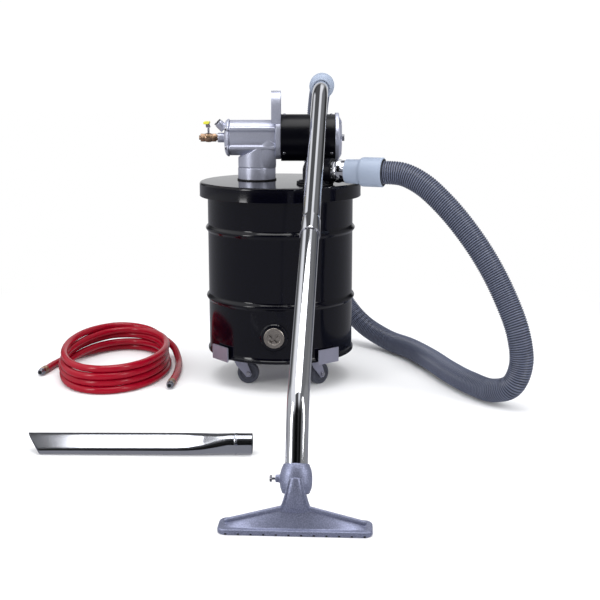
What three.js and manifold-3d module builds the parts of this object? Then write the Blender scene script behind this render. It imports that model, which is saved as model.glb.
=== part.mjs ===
// Compressed-air drum vacuum kit on a four-caster dolly: drum, lid, venturi head with muffler,
// suction hose, double-bend wand with floor tool, and the loose air hose and crevice tool.
// Millimetres, +Z up. The kit is drawn about the drum's axis at floor level, and moved at the end.

import * as THREE from 'three';
import { mergeVertices } from 'three/addons/utils/BufferGeometryUtils.js';
import Module from 'manifold-3d';

const wasm = await Module();
wasm.setup();

// ---------------------------------------------------------------- driving dimensions

const gap = 0.3;                // between pieces that rest on or fit into each other
const runningGap = 0.6;         // between a shaft and its bearing hole
const looseGap = 3;             // between pieces that pass each other

const wheelRadius = 35;
const wheelWidth = 24;
const forkGap = 6;              // between the wheel and the bridge of its fork
const crownHeight = 12;         // bridge of the fork to the top of the swivel race
const casterTrail = 26;         // swivel axis to axle
const casterCircle = 166;       // drum axis to swivel axis
const axleRadius = 4;
const forkThickness = 3;

const dollyTurn = -6;           // degrees that the cross is turned under the drum
const armWidth = 44;
const armThickness = 5;
const upstandWidth = 80;
const upstandHeight = 46;

const drumRadius = 233.5;
const drumHeight = 543;
const drumWall = 2.5;
const drumSides = 36;           // flats round the drum, the lid and their seal
const chimeRise = 4.5;          // how far the end rims stand out of the wall
const chimeHeight = 11;
const hoopRise = 7.5;           // how far a rolling hoop stands out of the wall
const hoopHalfHeight = 12;
const lowHoopHeight = 180;      // above the drum's foot
const highHoopHeight = 402;
const drainHeight = 87;
const drainTurn = -4;           // degrees from straight ahead
const drainRadius = 30;         // the tapped hole
const drainRim = 44;

const lidOverhang = 25;         // the drum's wall to the outside of the lid
const lidSkirt = 46;
const lidThickness = 2.5;
const lidCorner = 6;
const gasketThickness = 4;

const headX = -76;              // neck axis, from the drum's axis
const headY = 30;
const headHeight = 135;         // lid to the head's long axis
const bodyRadius = 59.5;
const bodyWall = 9;
const bodyLength = 148;
const noseThickness = 15;
const neckRadius = 60.5;
const neckWall = 8;
const neckCollar = 36;          // height of the plain ring at the neck's foot
const neckLean = 23;            // degrees that the throat leans towards the muffler
const bossRadius = 9.5;
const bossCircle = 55;
const flangeThickness = 16.5;
const flangeRadius = 68.5;
const flangeOffset = 62;        // neck axis to the flange's left face
const airStubRadius = 15.5;
const airStubLength = 23;

const mufflerRadius = 74.5;
const mufflerLength = 172;
const mufflerWall = 3;
const coreRadius = 38;
const coreWall = 2.5;
const endCapRadius = 79.5;
const endCapThickness = 22;
const lobeDepth = 6;            // how far the lobed rims dip between their bolts

const handleRise = 80;          // above the flange
const handleSpan = 118;
const handleBar = 20;
const handleWidth = 30;

const valveLength = 50;
const valveRadius = 14.5;
const valveBore = 7;
const valveGap = 5;             // length of the nipple seen between valve and stub

const inletX = 110;
const inletY = -105;
const inletTurn = -20;          // degrees that the inlet points towards the front
const elbowWall = 5;
const elbowPlay = 0.5;          // round the tube in the elbow
const elbowReach = 62;
const inletFlangeRadius = 58;
const inletFlangeThickness = 7;
const inletTubeRadius = 33.5;
const inletTubeWall = 1.6;
const inletTubeReach = 108;     // from the elbow's axis

const hoseRadius = 36;
const socketPlay = 1.2;         // round the hose in its cuffs
const cuffWall = 4;
const cuffNeckLength = 48;
const cuffBodyLength = 72;
const cuffBodyRadius = 45;
const cuffRise = 4.5;           // between the lid and the neck of the inlet's cuff

const wandRadius = 25.4;
const wandWall = 1.5;
const wandSwell = 2.2;          // the upper tube's flared socket over the lower tube
const wandJoint = 760;          // along the wand from its foot to the flared socket's end
const wandOverlap = 60;
const wandSides = 12;
const footLength = 170;
const mainLength = 1408;
const topLength = 130;
const footAngle = 66;           // degrees above the floor
const mainAngle = 28;
const topAngle = 7;
const footBend = 120;
const topBend = 300;
const wandTurn = 3.2;           // degrees that the wand points to the right of straight back
const wandFootX = 55;
const wandFootY = -1246;
const wandFootZ = 105;
const wandCuffRadius = 33;
const wandCuffLength = 78;
const wandCuffBody = 41.5;

const toolWidth = 340;
const toolDepth = 74;
const toolLip = 12;
const toolPeak = 58;
const toolSlotWidth = 300;
const toolSlotDepth = 22;
const collarRadius = 36;
const collarLength = 66;

const creviceLength = 600;
const creviceRadius = 27;
const creviceWall = 1.6;
const creviceSocket = 62;
const creviceTaper = 110;
const creviceFlatWidth = 66;
const creviceFlatHeight = 22;
const creviceRoll = 30;         // degrees that it lies rolled towards the front
const creviceX = -662;
const creviceY = -768;

const airHoseRadius = 11.5;
const coilX = -557;
const coilY = 45;
const coilHalfWidth = 187;
const coilHalfLength = 297;
const coilBand = 46;
const coilHeight = 98;

// ---------------------------------------------------------------- materials

const finish = (color, metalness, roughness) =>
  new THREE.MeshStandardMaterial({ color, metalness, roughness });
const glossBlack = finish(0x0b0c10, 0.1, 0.15);
const castAluminium = finish(0xa9adbf, 0.9, 0.4);
const chrome = finish(0xd8dae0, 1.0, 0.08);
const zinc = finish(0x9c9cb5, 0.9, 0.45);
const brass = finish(0xb08968, 0.9, 0.35);
const steel = finish(0x9a9aa4, 1.0, 0.3);
const rubber = finish(0x30323a, 0.0, 0.8);
const tyre = finish(0x4a4c58, 0.0, 0.7);
const nickel = finish(0x8f8880, 0.9, 0.4);
const cuffVinyl = finish(0xa9b7d0, 0.0, 0.5);
const hoseVinyl = finish(0x5a6178, 0.0, 0.5);
const yellowVinyl = finish(0xc8c430, 0.0, 0.4);
const redVinyl = finish(0xa00020, 0.0, 0.3);
const foam = finish(0x3a3c44, 0.0, 0.95);
const felt = finish(0xd8d6cc, 0.0, 0.95);

// ---------------------------------------------------------------- shape helpers

const degrees = Math.PI / 180;

function toSolid(geometry) {
  const bare = geometry.index ? geometry.clone() : mergeBare(geometry);
  const merged = mergeBare(bare);
  const mesh = new wasm.Mesh({
    numProp: 3,
    vertProperties: new Float32Array(merged.attributes.position.array),
    triVerts: new Uint32Array(merged.index.array),
  });
  return new wasm.Manifold(mesh);
}

function mergeBare(geometry) {
  const bare = geometry.clone();
  for (const name of Object.keys(bare.attributes)) {
    if (name !== 'position') bare.deleteAttribute(name);
  }
  return mergeVertices(bare, 1e-4);
}

function toGeometry(solid) {
  const mesh = solid.getMesh();
  const geometry = new THREE.BufferGeometry();
  const points = new Float32Array(mesh.numVert * 3);
  for (let i = 0; i < mesh.numVert; i += 1) {
    for (let k = 0; k < 3; k += 1) points[3 * i + k] = mesh.vertProperties[mesh.numProp * i + k];
  }
  geometry.setAttribute('position', new THREE.BufferAttribute(points, 3));
  geometry.setIndex(new THREE.BufferAttribute(new Uint32Array(mesh.triVerts), 1));
  return geometry;
}

// Joins the first list of shapes and cuts the second list out of them.
function combine(added, removed = []) {
  let solid = toSolid(added[0]);
  for (const shape of added.slice(1)) solid = solid.add(toSolid(shape));
  for (const shape of removed) solid = solid.subtract(toSolid(shape));
  return toGeometry(solid);
}

// How many flats stand for a circle of this radius.
function flats(radius) {
  if (radius < 8) return 8;
  if (radius < 22) return 10;
  if (radius < 50) return 16;
  return radius < 100 ? 24 : drumSides;
}

// The corner radius of a bore whose flats clear a round shaft by the clearance.
function boreFor(radius, clearance = gap) {
  return (radius + clearance) / Math.cos(Math.PI / flats(radius + clearance));
}

// A closed outline of [radius, height] points turned about Z.
function turned(outline, sides = flats(Math.max(...outline.map(([r]) => r)))) {
  const points = outline.map(([r, z]) => new THREE.Vector2(r, z));
  const closed = outline[0][0] === 0 && outline.at(-1)[0] === 0;
  if (!closed) points.push(points[0].clone());
  const geometry = new THREE.LatheGeometry(points, sides);
  geometry.rotateX(Math.PI / 2);
  return rightWayOut(geometry);
}

// LatheGeometry faces in or out by the direction of its outline, so the volume's sign decides.
function rightWayOut(geometry) {
  const merged = mergeBare(geometry);
  const p = merged.attributes.position;
  const index = merged.index.array;
  const [a, b, c] = [new THREE.Vector3(), new THREE.Vector3(), new THREE.Vector3()];
  let volume = 0;
  for (let i = 0; i < index.length; i += 3) {
    a.fromBufferAttribute(p, index[i]);
    b.fromBufferAttribute(p, index[i + 1]);
    c.fromBufferAttribute(p, index[i + 2]);
    volume += a.dot(b.cross(c));
  }
  if (volume < 0) {
    for (let i = 0; i < index.length; i += 3) {
      [index[i], index[i + 1]] = [index[i + 1], index[i]];
    }
  }
  return merged;
}

// A round bar along Z from low to high.
function bar(radius, low, high, sides = flats(radius)) {
  return turned([[0, low], [radius, low], [radius, high], [0, high]], sides);
}

// A ring along Z from low to high.
function ring(inner, outer, low, high) {
  return turned([[inner, low], [outer, low], [outer, high], [inner, high]]);
}

function block(width, depth, height, x = 0, y = 0, z = 0) {
  const geometry = new THREE.BoxGeometry(width, depth, height);
  geometry.translate(x, y, z);
  return geometry;
}

function outline(points) {
  return new THREE.Shape(points.map(([x, y]) => new THREE.Vector2(x, y)));
}

function plate(shape, thickness, curveSegments = 8) {
  return new THREE.ExtrudeGeometry(shape, { depth: thickness, bevelEnabled: false, curveSegments });
}

// Turns a shape drawn along Z so that it lies along +X.
function alongX(geometry) {
  return geometry.rotateY(Math.PI / 2);
}

function circle(radius, sides, hole = 0) {
  const points = (r) => Array.from({ length: sides }, (_, i) => {
    const angle = (2 * Math.PI * i) / sides;
    return new THREE.Vector2(r * Math.cos(angle), r * Math.sin(angle));
  });
  const shape = new THREE.Shape(points(radius));
  if (hole > 0) shape.holes.push(new THREE.Path(points(hole)));
  return shape;
}

// A solid or hollow tube along a curve.
function sweep(curve, radius, steps, sides, hole = 0) {
  const shape = circle(radius, sides, hole);
  const geometry = new THREE.ExtrudeGeometry(shape, {
    extrudePath: curve, steps, bevelEnabled: false,
  });
  return rightWayOut(geometry);
}

// A round plate whose rim dips between its lobes.
function lobedDisc(radius, lobes, dip, thickness, bore) {
  const steps = lobes * 8;
  const points = Array.from({ length: steps }, (_, i) => {
    const angle = (2 * Math.PI * i) / steps;
    const r = radius - (dip / 2) * (1 - Math.cos(lobes * (angle - Math.PI / lobes)));
    return new THREE.Vector2(r * Math.cos(angle), r * Math.sin(angle));
  });
  const shape = new THREE.Shape(points);
  if (bore > 0) {
    const hole = circle(bore, 32).getPoints();
    shape.holes.push(new THREE.Path(hole));
  }
  return plate(shape, thickness);
}

function hexagon(acrossFlats, low, high) {
  return bar(acrossFlats / Math.sqrt(3), low, high, 6);
}

const kit = new THREE.Group();

function add(name, geometry, material, parent = kit) {
  const mesh = new THREE.Mesh(geometry, material);
  mesh.name = name;
  parent.add(mesh);
  return mesh;
}

function group(x = 0, y = 0, z = 0, turn = 0, parent = kit) {
  const holder = new THREE.Group();
  holder.position.set(x, y, z);
  holder.rotation.z = turn * degrees;
  parent.add(holder);
  return holder;
}

// ---------------------------------------------------------------- dolly and casters

const crownBottom = 2 * wheelRadius + forkGap;
const casterHeight = crownBottom + crownHeight;
const armBase = casterHeight + gap;
const drumFoot = armBase + armThickness + gap;
const chimeRadius = drumRadius + chimeRise;
const lidRadius = drumRadius + lidOverhang;
const upstandRadius = chimeRadius + looseGap;

function dollyCross() {
  const length = 2 * upstandRadius + 2;
  const z = armBase + armThickness / 2;
  const shapes = [block(length, armWidth, armThickness, 0, 0, z)];
  shapes.push(block(armWidth, length, armThickness, 0, 0, z));
  const upstandZ = armBase + upstandHeight / 2;
  for (let i = 0; i < 4; i += 1) {
    const upstand = block(armThickness, upstandWidth, upstandHeight, 0, 0, upstandZ);
    upstand.translate(upstandRadius + armThickness / 2, 0, 0);
    shapes.push(upstand.rotateZ((i * Math.PI) / 2));
  }
  return combine(shapes).rotateZ((45 + dollyTurn) * degrees);
}
add('dolly_cross', dollyCross(), zinc);

const legSpacing = wheelWidth / 2 + looseGap;

function forkLeg(side) {
  const eye = wheelRadius;
  const shape = outline([
    [-18, crownBottom], [-12, crownBottom - 14], [casterTrail - 11, eye - 4],
    [casterTrail - 6, eye - 11], [casterTrail + 6, eye - 11], [casterTrail + 11, eye - 4],
    [24, crownBottom - 10], [24, crownBottom],
  ]);
  const leg = plate(shape, forkThickness);
  leg.rotateX(Math.PI / 2);
  const inner = side > 0 ? legSpacing + forkThickness : -legSpacing;
  return leg.translate(0, inner, 0);
}

function casterFork() {
  const bridgeWidth = 2 * (legSpacing + forkThickness);
  const bridge = block(44, bridgeWidth, 4, 2, 0, crownBottom + 1.9);
  const raceway = bar(21, crownBottom + 2, casterHeight);
  const hole = bar(boreFor(axleRadius, runningGap), -60, 60);
  hole.rotateX(Math.PI / 2).translate(casterTrail, 0, wheelRadius);
  return combine([forkLeg(1), forkLeg(-1), bridge, raceway], [hole]);
}

function casterWheel() {
  const half = wheelWidth / 2;
  const bore = axleRadius + runningGap;
  const wheel = turned([
    [bore, -half - 1.5], [11, -half - 1.5], [12, -half + 3], [24, -half + 3], [26, -half],
    [32, -half], [wheelRadius, -half + 6], [wheelRadius, half - 6], [32, half], [26, half],
    [24, half - 3], [12, half - 3], [11, half + 1.5], [bore, half + 1.5],
  ]);
  return wheel.rotateX(Math.PI / 2);
}

function casterAxle() {
  const leg = legSpacing + forkThickness + gap;
  const axle = turned([
    [0, -leg - 4], [7, -leg - 4], [7, -leg], [axleRadius, -leg],
    [axleRadius, leg], [7, leg], [7, leg + 5], [0, leg + 5],
  ]);
  return axle.rotateX(Math.PI / 2);
}

const casters = [
  { name: 'front_left', quarter: 2, heading: 0 },
  { name: 'front_right', quarter: 3, heading: 42 },
  { name: 'rear_right', quarter: 0, heading: 65 },
  { name: 'rear_left', quarter: 1, heading: 20 },
];
for (const { name, quarter, heading } of casters) {
  const angle = (45 + dollyTurn + 90 * quarter) * degrees;
  const x = casterCircle * Math.cos(angle);
  const y = casterCircle * Math.sin(angle);
  const caster = group(x, y, 0, heading);
  add(`caster_fork_${name}`, casterFork(), zinc, caster);
  add(`caster_wheel_${name}`, casterWheel(), tyre, caster).position.set(casterTrail, 0, wheelRadius);
  add(`caster_axle_${name}`, casterAxle(), steel, caster).position.set(casterTrail, 0, wheelRadius);
}

// ---------------------------------------------------------------- drum and drain

const drumTop = drumFoot + drumHeight;
const drainZ = drumFoot + drainHeight;

// A rolling hoop is a solid bead here: the inside of the wall is left plain.
function hoopPoints(height) {
  const steps = 3;
  const points = [];
  for (let i = 0; i <= steps; i += 1) {
    const angle = (Math.PI * i) / steps;
    const z = height - hoopHalfHeight * Math.cos(angle);
    points.push([drumRadius + hoopRise * Math.sin(angle), z]);
  }
  return points;
}

function drumShell() {
  const low = drumFoot + lowHoopHeight;
  const high = drumFoot + highHoopHeight;
  const floor = drumFoot + chimeHeight;
  const inner = drumRadius - drumWall;
  const shell = turned([
    [0, floor - drumWall], [chimeRadius - 7, floor - drumWall], [chimeRadius - 6, drumFoot],
    [chimeRadius - 1, drumFoot], [chimeRadius, drumFoot + 3], [chimeRadius, floor - 3],
    [drumRadius, floor + 6],
    ...hoopPoints(low), ...hoopPoints(high),
    [drumRadius, drumTop - 12], [chimeRadius, drumTop - 9], [chimeRadius, drumTop - 2],
    [chimeRadius - 2, drumTop], [inner + 1, drumTop], [inner, drumTop - 2],
    [inner, floor + 4], [inner - 4, floor], [0, floor],
  ], drumSides);
  const hole = bar(boreFor(drainRadius), 0, drumRadius + 30);
  hole.rotateX(Math.PI / 2).translate(0, 0, drainZ).rotateZ(drainTurn * degrees);
  return combine([shell], [hole]);
}
add('drum_shell', drumShell(), glossBlack);

// The drain's pieces are drawn along +Z and turned to point out of the drum's front.
function drainPiece(geometry) {
  return geometry.rotateX(Math.PI / 2).translate(0, 0, drainZ).rotateZ(drainTurn * degrees);
}

const drainOut = drumRadius + gap;
const plugRadius = drainRadius - 3 - gap;

function drainFlange() {
  const bore = boreFor(plugRadius);
  const cup = turned([
    [bore, drumRadius - 24], [drainRadius, drumRadius - 24],
    [drainRadius, drainOut], [drainRim, drainOut], [drainRim - 2, drainOut + 6],
    [drainRadius + 4, drainOut + 8], [bore, drainOut + 8],
  ]);
  const wall = bar(drumRadius + gap, drainZ - 70, drainZ + 70, drumSides);
  const throat = bar(drainRadius, drumRadius - 30, drumRadius + 1);
  const flange = toSolid(drainPiece(cup));
  const inside = toSolid(wall).subtract(toSolid(drainPiece(throat)));
  return toGeometry(flange.subtract(inside));
}
add('drain_flange', drainFlange(), glossBlack);

function drainPlug() {
  const top = drainOut + 9;
  const plug = bar(plugRadius, drumRadius - 20, top);
  const head = bar(drainRadius + 2, drainOut + 8 + gap, top + 3);
  const slotLength = 40;
  const recess = [
    block(slotLength, 13, 14, 0, 0, top + 3).rotateZ(45 * degrees),
    block(13, slotLength, 14, 0, 0, top + 3).rotateZ(45 * degrees),
  ];
  return combine([drainPiece(plug), drainPiece(head)], recess.map(drainPiece));
}
add('drain_plug', drainPlug(), nickel);

// ---------------------------------------------------------------- lid

const lidUnderside = drumTop + gasketThickness + 2 * gap;
const lidTop = lidUnderside + lidThickness;
const headZ = lidTop + headHeight;
const inletPipe = inletTubeRadius + elbowPlay;
const elbowRadius = inletPipe + elbowWall;

function lidShell() {
  const skirt = lidTop - lidSkirt;
  const inner = lidRadius - lidThickness;
  const shell = turned([
    [0, lidUnderside], [inner - lidCorner, lidUnderside], [inner, lidUnderside - lidCorner],
    [inner, skirt], [lidRadius + 1, skirt], [lidRadius, skirt + 4],
    [lidRadius, lidTop - lidCorner], [lidRadius - 2, lidTop - 2], [lidRadius - lidCorner, lidTop],
    [0, lidTop],
  ], drumSides);
  const neckHole = bar(neckRadius - neckWall, lidTop - 20, lidTop + 20);
  neckHole.translate(headX, headY, 0);
  const inletHole = bar(inletPipe, lidTop - 20, lidTop + 20);
  inletHole.translate(inletX, inletY, 0);
  return combine([shell], [neckHole, inletHole]);
}
add('lid', lidShell(), glossBlack);

const sealLow = drumTop + gap;
add('lid_gasket', ring(chimeRadius - 12, chimeRadius + 2, sealLow, sealLow + gasketThickness, drumSides), foam);

// ---------------------------------------------------------------- venturi head

const head = group(headX, headY, 0);
const neckFoot = lidTop + gasketThickness + gap;
const flangeFace = flangeOffset;
const bodyFace = flangeFace - gap;
const bodyEnd = bodyFace - bodyLength;
const bodyBore = bodyRadius - bodyWall;

add('neck_gasket', ring(neckRadius - neckWall, neckRadius + 3, lidTop + gap, neckFoot - gap),
  rubber, head);

const boltAngles = [38, 142, 218, 322];

// Bolt bosses along the head, at the same angles as the bolts in the nose cap and the flange.
function bosses(low, high, radius) {
  return boltAngles.map((angle) => {
    const boss = bar(radius, low, high);
    const y = bossCircle * Math.cos(angle * degrees);
    const z = bossCircle * Math.sin(angle * degrees);
    return alongX(boss).translate(0, y, headZ + z);
  });
}

function headCasting() {
  const body = alongX(bar(bodyRadius, bodyEnd, bodyFace)).translate(0, 0, headZ);
  const collarTop = neckFoot + neckCollar;
  const foot = bar(neckRadius, neckFoot, collarTop);
  const groove = ring(neckRadius - 1.5, neckRadius + 5, collarTop - 1, collarTop + 1);
  const leanTo = (geometry) => geometry.rotateY(neckLean * degrees).translate(0, 0, collarTop);
  const throat = leanTo(bar(neckRadius, -24, (headZ - collarTop) / Math.cos(neckLean * degrees)));
  const pipe = bar(neckRadius - neckWall, neckFoot - 5, collarTop + 6);
  const bend = leanTo(bar(neckRadius - neckWall, -8, 92));
  const bore = alongX(bar(bodyBore, bodyEnd - 5, bodyFace + 5)).translate(0, 0, headZ);
  const keep = bar(neckRadius, neckFoot, headZ + bodyRadius);
  const leaning = toSolid(throat).subtract(toSolid(block(400, 400, 200, 0, 0, collarTop - 100)));
  let casting = toSolid(body).add(toSolid(keep).intersect(toSolid(block(200, 200, 120, 0, 0, headZ - 90))));
  casting = casting.add(toSolid(foot)).add(leaning);
  for (const boss of bosses(bodyEnd, bodyFace, bossRadius)) casting = casting.add(toSolid(boss));
  casting = casting.subtract(toSolid(block(120, 200, 300, bodyFace + 60, 0, headZ)));
  for (const hollow of [bore, pipe, bend, groove]) casting = casting.subtract(toSolid(hollow));
  return toGeometry(casting);
}
add('head_casting', headCasting(), castAluminium, head);

const capFace = bodyEnd - gap;
const noseFace = capFace - noseThickness;
const portLean = 45;

function noseCap() {
  const cap = turned([
    [0, noseFace], [bodyRadius - 14, noseFace], [bodyRadius - 5, noseFace + 3],
    [bodyRadius, noseFace + 8], [bodyRadius, capFace], [0, capFace],
  ]);
  const stub = bar(airStubRadius, noseFace - airStubLength, noseFace + 4);
  const bore = bar(valveBore, noseFace - airStubLength - 5, capFace + 5);
  const along = [cap, stub, bore].map((piece) => alongX(piece).translate(0, 0, headZ));
  const port = bar(14, 34, 58).rotateY(-portLean * degrees).translate(noseFace + 20, 0, headZ + 6);
  const portHole = bar(9, 46, 70).rotateY(-portLean * degrees);
  portHole.translate(noseFace + 20, 0, headZ + 6);
  const ears = bosses(noseFace + 8, capFace, bossRadius);
  return combine([along[0], along[1], port, ...ears], [along[2], portHole]);
}
add('nose_cap', noseCap(), castAluminium, head);

function portPlug() {
  const plug = combine([bar(9 - gap, 46 + gap, 60), hexagon(22, 58 + gap, 64)]);
  return plug.rotateY(-portLean * degrees).translate(noseFace + 20, 0, headZ + 6);
}
add('port_plug', portPlug(), steel, head);

// The air nozzle blows along the head's axis into the mixing tube.
const nozzleBase = capFace + gap;
function airNozzle() {
  const nozzle = turned([
    [valveBore, nozzleBase], [bodyBore - 14, nozzleBase], [bodyBore - 14, nozzleBase + 5],
    [14, nozzleBase + 8], [11, nozzleBase + 34], [7, nozzleBase + 58], [4, nozzleBase + 58],
    [valveBore, nozzleBase + 30],
  ]);
  return alongX(nozzle).translate(0, 0, headZ);
}
add('air_nozzle', airNozzle(), brass, head);

const flangeEnd = flangeFace + flangeThickness;
const mixingRadius = 29;

function rearFlange() {
  const disc = lobedDisc(flangeRadius + lobeDepth, 4, lobeDepth, flangeThickness, mixingRadius + gap);
  return alongX(disc).translate(flangeFace, 0, headZ);
}
add('rear_flange', rearFlange(), castAluminium, head);

function mixingTube() {
  const low = flangeFace - 42;
  const high = flangeEnd + 70;
  const tube = turned([
    [mixingRadius - 9, low + 20], [mixingRadius + 7, low], [mixingRadius + 9, low + 2],
    [mixingRadius - 2, low + 24], [mixingRadius, low + 30], [mixingRadius, high],
    [mixingRadius - 2, high], [mixingRadius - 9, low + 50],
  ]);
  return alongX(tube).translate(0, 0, headZ);
}
add('mixing_tube', mixingTube(), castAluminium, head);

// ---------------------------------------------------------------- muffler

const mufflerStart = flangeEnd + gap;
const mufflerEnd = mufflerStart + mufflerLength;
const capStart = mufflerEnd + gap;
const coreEnd = mufflerEnd - 8;

function onHeadAxis(geometry) {
  return alongX(geometry).translate(0, 0, headZ);
}

add('muffler_shell', onHeadAxis(
  ring(mufflerRadius - mufflerWall, mufflerRadius, mufflerStart, mufflerEnd),
), glossBlack, head);
add('muffler_foam', onHeadAxis(
  ring(coreRadius + looseGap, mufflerRadius - mufflerWall - gap, mufflerStart + 2, mufflerEnd - 4),
), foam, head);

function mufflerCore() {
  const inner = coreRadius - coreWall;
  return turned([
    [inner, mufflerStart], [coreRadius, mufflerStart], [coreRadius, coreEnd],
    [5 + gap, coreEnd], [5 + gap, coreEnd - 6], [inner, coreEnd - 6],
  ]);
}
add('muffler_core', onHeadAxis(mufflerCore()), steel, head);

function endCap() {
  const rim = lobedDisc(endCapRadius, 4, lobeDepth, endCapThickness - 8, 0);
  rim.rotateZ(45 * degrees).translate(0, 0, capStart);
  const crown = turned([
    [0, capStart + endCapThickness - 9], [endCapRadius - 12, capStart + endCapThickness - 9],
    [endCapRadius - 26, capStart + endCapThickness], [0, capStart + endCapThickness],
  ]);
  const bolt = bar(5 + gap, capStart - 5, capStart + 40);
  const vents = Array.from({ length: 6 }, (_, i) => {
    const vent = bar(9, capStart - 5, capStart + 40);
    return vent.translate(56, 0, 0).rotateZ((30 + 60 * i) * degrees);
  });
  return onHeadAxis(combine([rim, crown], [bolt, ...vents]));
}
add('muffler_end_cap', endCap(), castAluminium, head);

function endBolt() {
  const face = capStart + endCapThickness + gap;
  return onHeadAxis(combine([bar(5, coreEnd - 5, face + 1), hexagon(19, face, face + 9)]));
}
add('end_cap_bolt', endBolt(), steel, head);

// ---------------------------------------------------------------- lifting handle

const flangeMiddle = flangeFace + flangeThickness / 2;

function liftingHandle() {
  const half = handleSpan / 2;
  const foot = headZ;
  const top = headZ + flangeRadius + handleRise;
  const outer = outline([
    [-half, foot], [-half, top - 42], [-half + 14, top - 14], [-half + 34, top],
    [half - 34, top], [half - 14, top - 14], [half, top - 42], [half, foot],
  ]);
  const inner = [
    [-half + handleBar, foot - 10], [-half + handleBar, top - 46], [-half + 34, top - handleBar - 4],
    [half - 34, top - handleBar - 4], [half - handleBar, top - 46], [half - handleBar, foot - 10],
  ];
  const loop = plate(outer, handleWidth);
  const hand = plate(outline(inner), handleWidth + 20).translate(0, 0, -10);
  const stand = (geometry) => geometry.rotateX(Math.PI / 2).rotateZ(Math.PI / 2);
  const place = (geometry) => stand(geometry).translate(flangeMiddle - 22, 0, 0);
  const saddle = alongX(bar(boreFor(flangeRadius + lobeDepth), -200, 300)).translate(0, 0, headZ);
  return combine([place(loop)], [place(hand), saddle]);
}
add('lifting_handle', liftingHandle(), castAluminium, head);

// ---------------------------------------------------------------- ball valve

const stubEnd = noseFace - airStubLength;
const valveEnd = stubEnd - valveGap;
const valveStart = valveEnd - valveLength;
const valveMiddle = valveStart + valveLength / 2;
const ballRadius = 10;
const stemRadius = 3.5;
const leverHeight = 33;

add('valve_nipple', onHeadAxis(ring(4.5, 9, valveEnd + gap, stubEnd - gap)), brass, head);

function valveBody() {
  const hexes = [hexagon(25, valveStart, valveStart + 13), hexagon(25, valveEnd - 13, valveEnd)];
  const barrel = bar(valveRadius - 1, valveStart + 8, valveEnd - 8);
  const bore = bar(valveBore, valveStart - 5, valveEnd + 5);
  const pocket = bar(boreFor(ballRadius), valveMiddle - ballRadius - 1, valveMiddle + ballRadius + 1);
  const bonnet = bar(7, headZ + 6, headZ + 21).translate(valveMiddle, 0, 0);
  const stemHole = bar(stemRadius + gap, headZ, headZ + 40).translate(valveMiddle, 0, 0);
  return combine([...hexes.map(onHeadAxis), onHeadAxis(barrel), bonnet],
    [onHeadAxis(bore), onHeadAxis(pocket), stemHole]);
}
add('valve_body', valveBody(), brass, head);

function valveBall() {
  const ball = new THREE.SphereGeometry(ballRadius, 14, 8);
  ball.rotateX(Math.PI / 2);
  const bore = bar(valveBore - 1, -20, 20).rotateX(Math.PI / 2);
  return combine([ball], [bore]).translate(valveMiddle, 0, headZ);
}
add('valve_ball', valveBall(), steel, head);

add('valve_stem', bar(stemRadius, headZ + ballRadius + gap, headZ + leverHeight + 8)
  .translate(valveMiddle, 0, 0), steel, head);

const leverReach = 92;
function valveLever() {
  const profile = outline([
    [12, leverHeight], [12, leverHeight + 3], [-18, leverHeight + 3], [-34, leverHeight + 19],
    [-leverReach, leverHeight + 19], [-leverReach, leverHeight + 16], [-32.5, leverHeight + 16],
    [-16.5, leverHeight],
  ]);
  const strip = plate(profile, 13);
  strip.rotateX(Math.PI / 2).rotateZ(Math.PI / 2).translate(valveMiddle - 6.5, 0, headZ);
  const hole = bar(stemRadius + gap, headZ, headZ + 60).translate(valveMiddle, 0, 0);
  return combine([strip], [hole]);
}
add('valve_lever', valveLever(), steel, head);

function leverGrip() {
  const low = headZ + leverHeight + 16;
  const sleeve = block(18, 60, 8, valveMiddle, -leverReach + 28, low + 1.5);
  const slot = block(13 + 2 * gap, 60, 3 + 2 * gap, valveMiddle, -leverReach + 30, low + 1.5);
  return combine([sleeve], [slot]);
}
add('lever_grip', leverGrip(), yellowVinyl, head);

// ---------------------------------------------------------------- filter under the neck

const filterTop = lidUnderside - gap;
const filterLength = 300;
add('filter_ring', ring(neckRadius - neckWall + 4, neckRadius + 20, filterTop - 8, filterTop),
  steel, head);

function filterBag() {
  const top = filterTop - 8 - gap;
  const outer = neckRadius + 16;
  return turned([
    [outer - 5, top], [outer, top], [outer + 4, top - filterLength * 0.6],
    [outer - 12, top - filterLength + 20], [outer - 40, top - filterLength], [0, top - filterLength],
    [0, top - filterLength + 5], [outer - 42, top - filterLength + 5],
    [outer - 17, top - filterLength + 23], [outer - 1, top - filterLength * 0.6],
  ]);
}
add('filter_bag', filterBag(), felt, head);

// ---------------------------------------------------------------- inlet elbow

const inlet = group(inletX, inletY, 0, inletTurn);
const inletZ = lidTop + inletTubeRadius + cuffWall + cuffRise;
const inletFlangeBase = lidTop + 3 * gap + 2;

add('inlet_gasket', ring(inletPipe, inletFlangeRadius, lidTop + gap, inletFlangeBase - gap),
  rubber, inlet);

function inletElbow() {
  const flange = bar(inletFlangeRadius, inletFlangeBase, inletFlangeBase + inletFlangeThickness);
  const riser = bar(elbowRadius, inletFlangeBase, inletZ);
  const knee = new THREE.SphereGeometry(elbowRadius, 28, 12).rotateX(Math.PI / 2);
  knee.translate(0, 0, inletZ);
  const outlet = alongX(bar(elbowRadius, 0, elbowReach)).translate(0, 0, inletZ);
  const shaft = bar(inletPipe, inletFlangeBase - 5, inletZ);
  const core = new THREE.SphereGeometry(inletPipe, 24, 10).rotateX(Math.PI / 2);
  core.translate(0, 0, inletZ);
  const bore = alongX(bar(inletPipe, 0, elbowReach + 5)).translate(0, 0, inletZ);
  const solid = toGeometry(toSolid(combine([flange, riser, knee, outlet], [shaft, core, bore]))
    .subtract(toSolid(block(400, 400, 100, 0, 0, inletFlangeBase - 50))));
  return solid;
}
add('inlet_elbow', inletElbow(), glossBlack, inlet);

function onInletAxis(geometry) {
  return alongX(geometry).translate(0, 0, inletZ);
}

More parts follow.
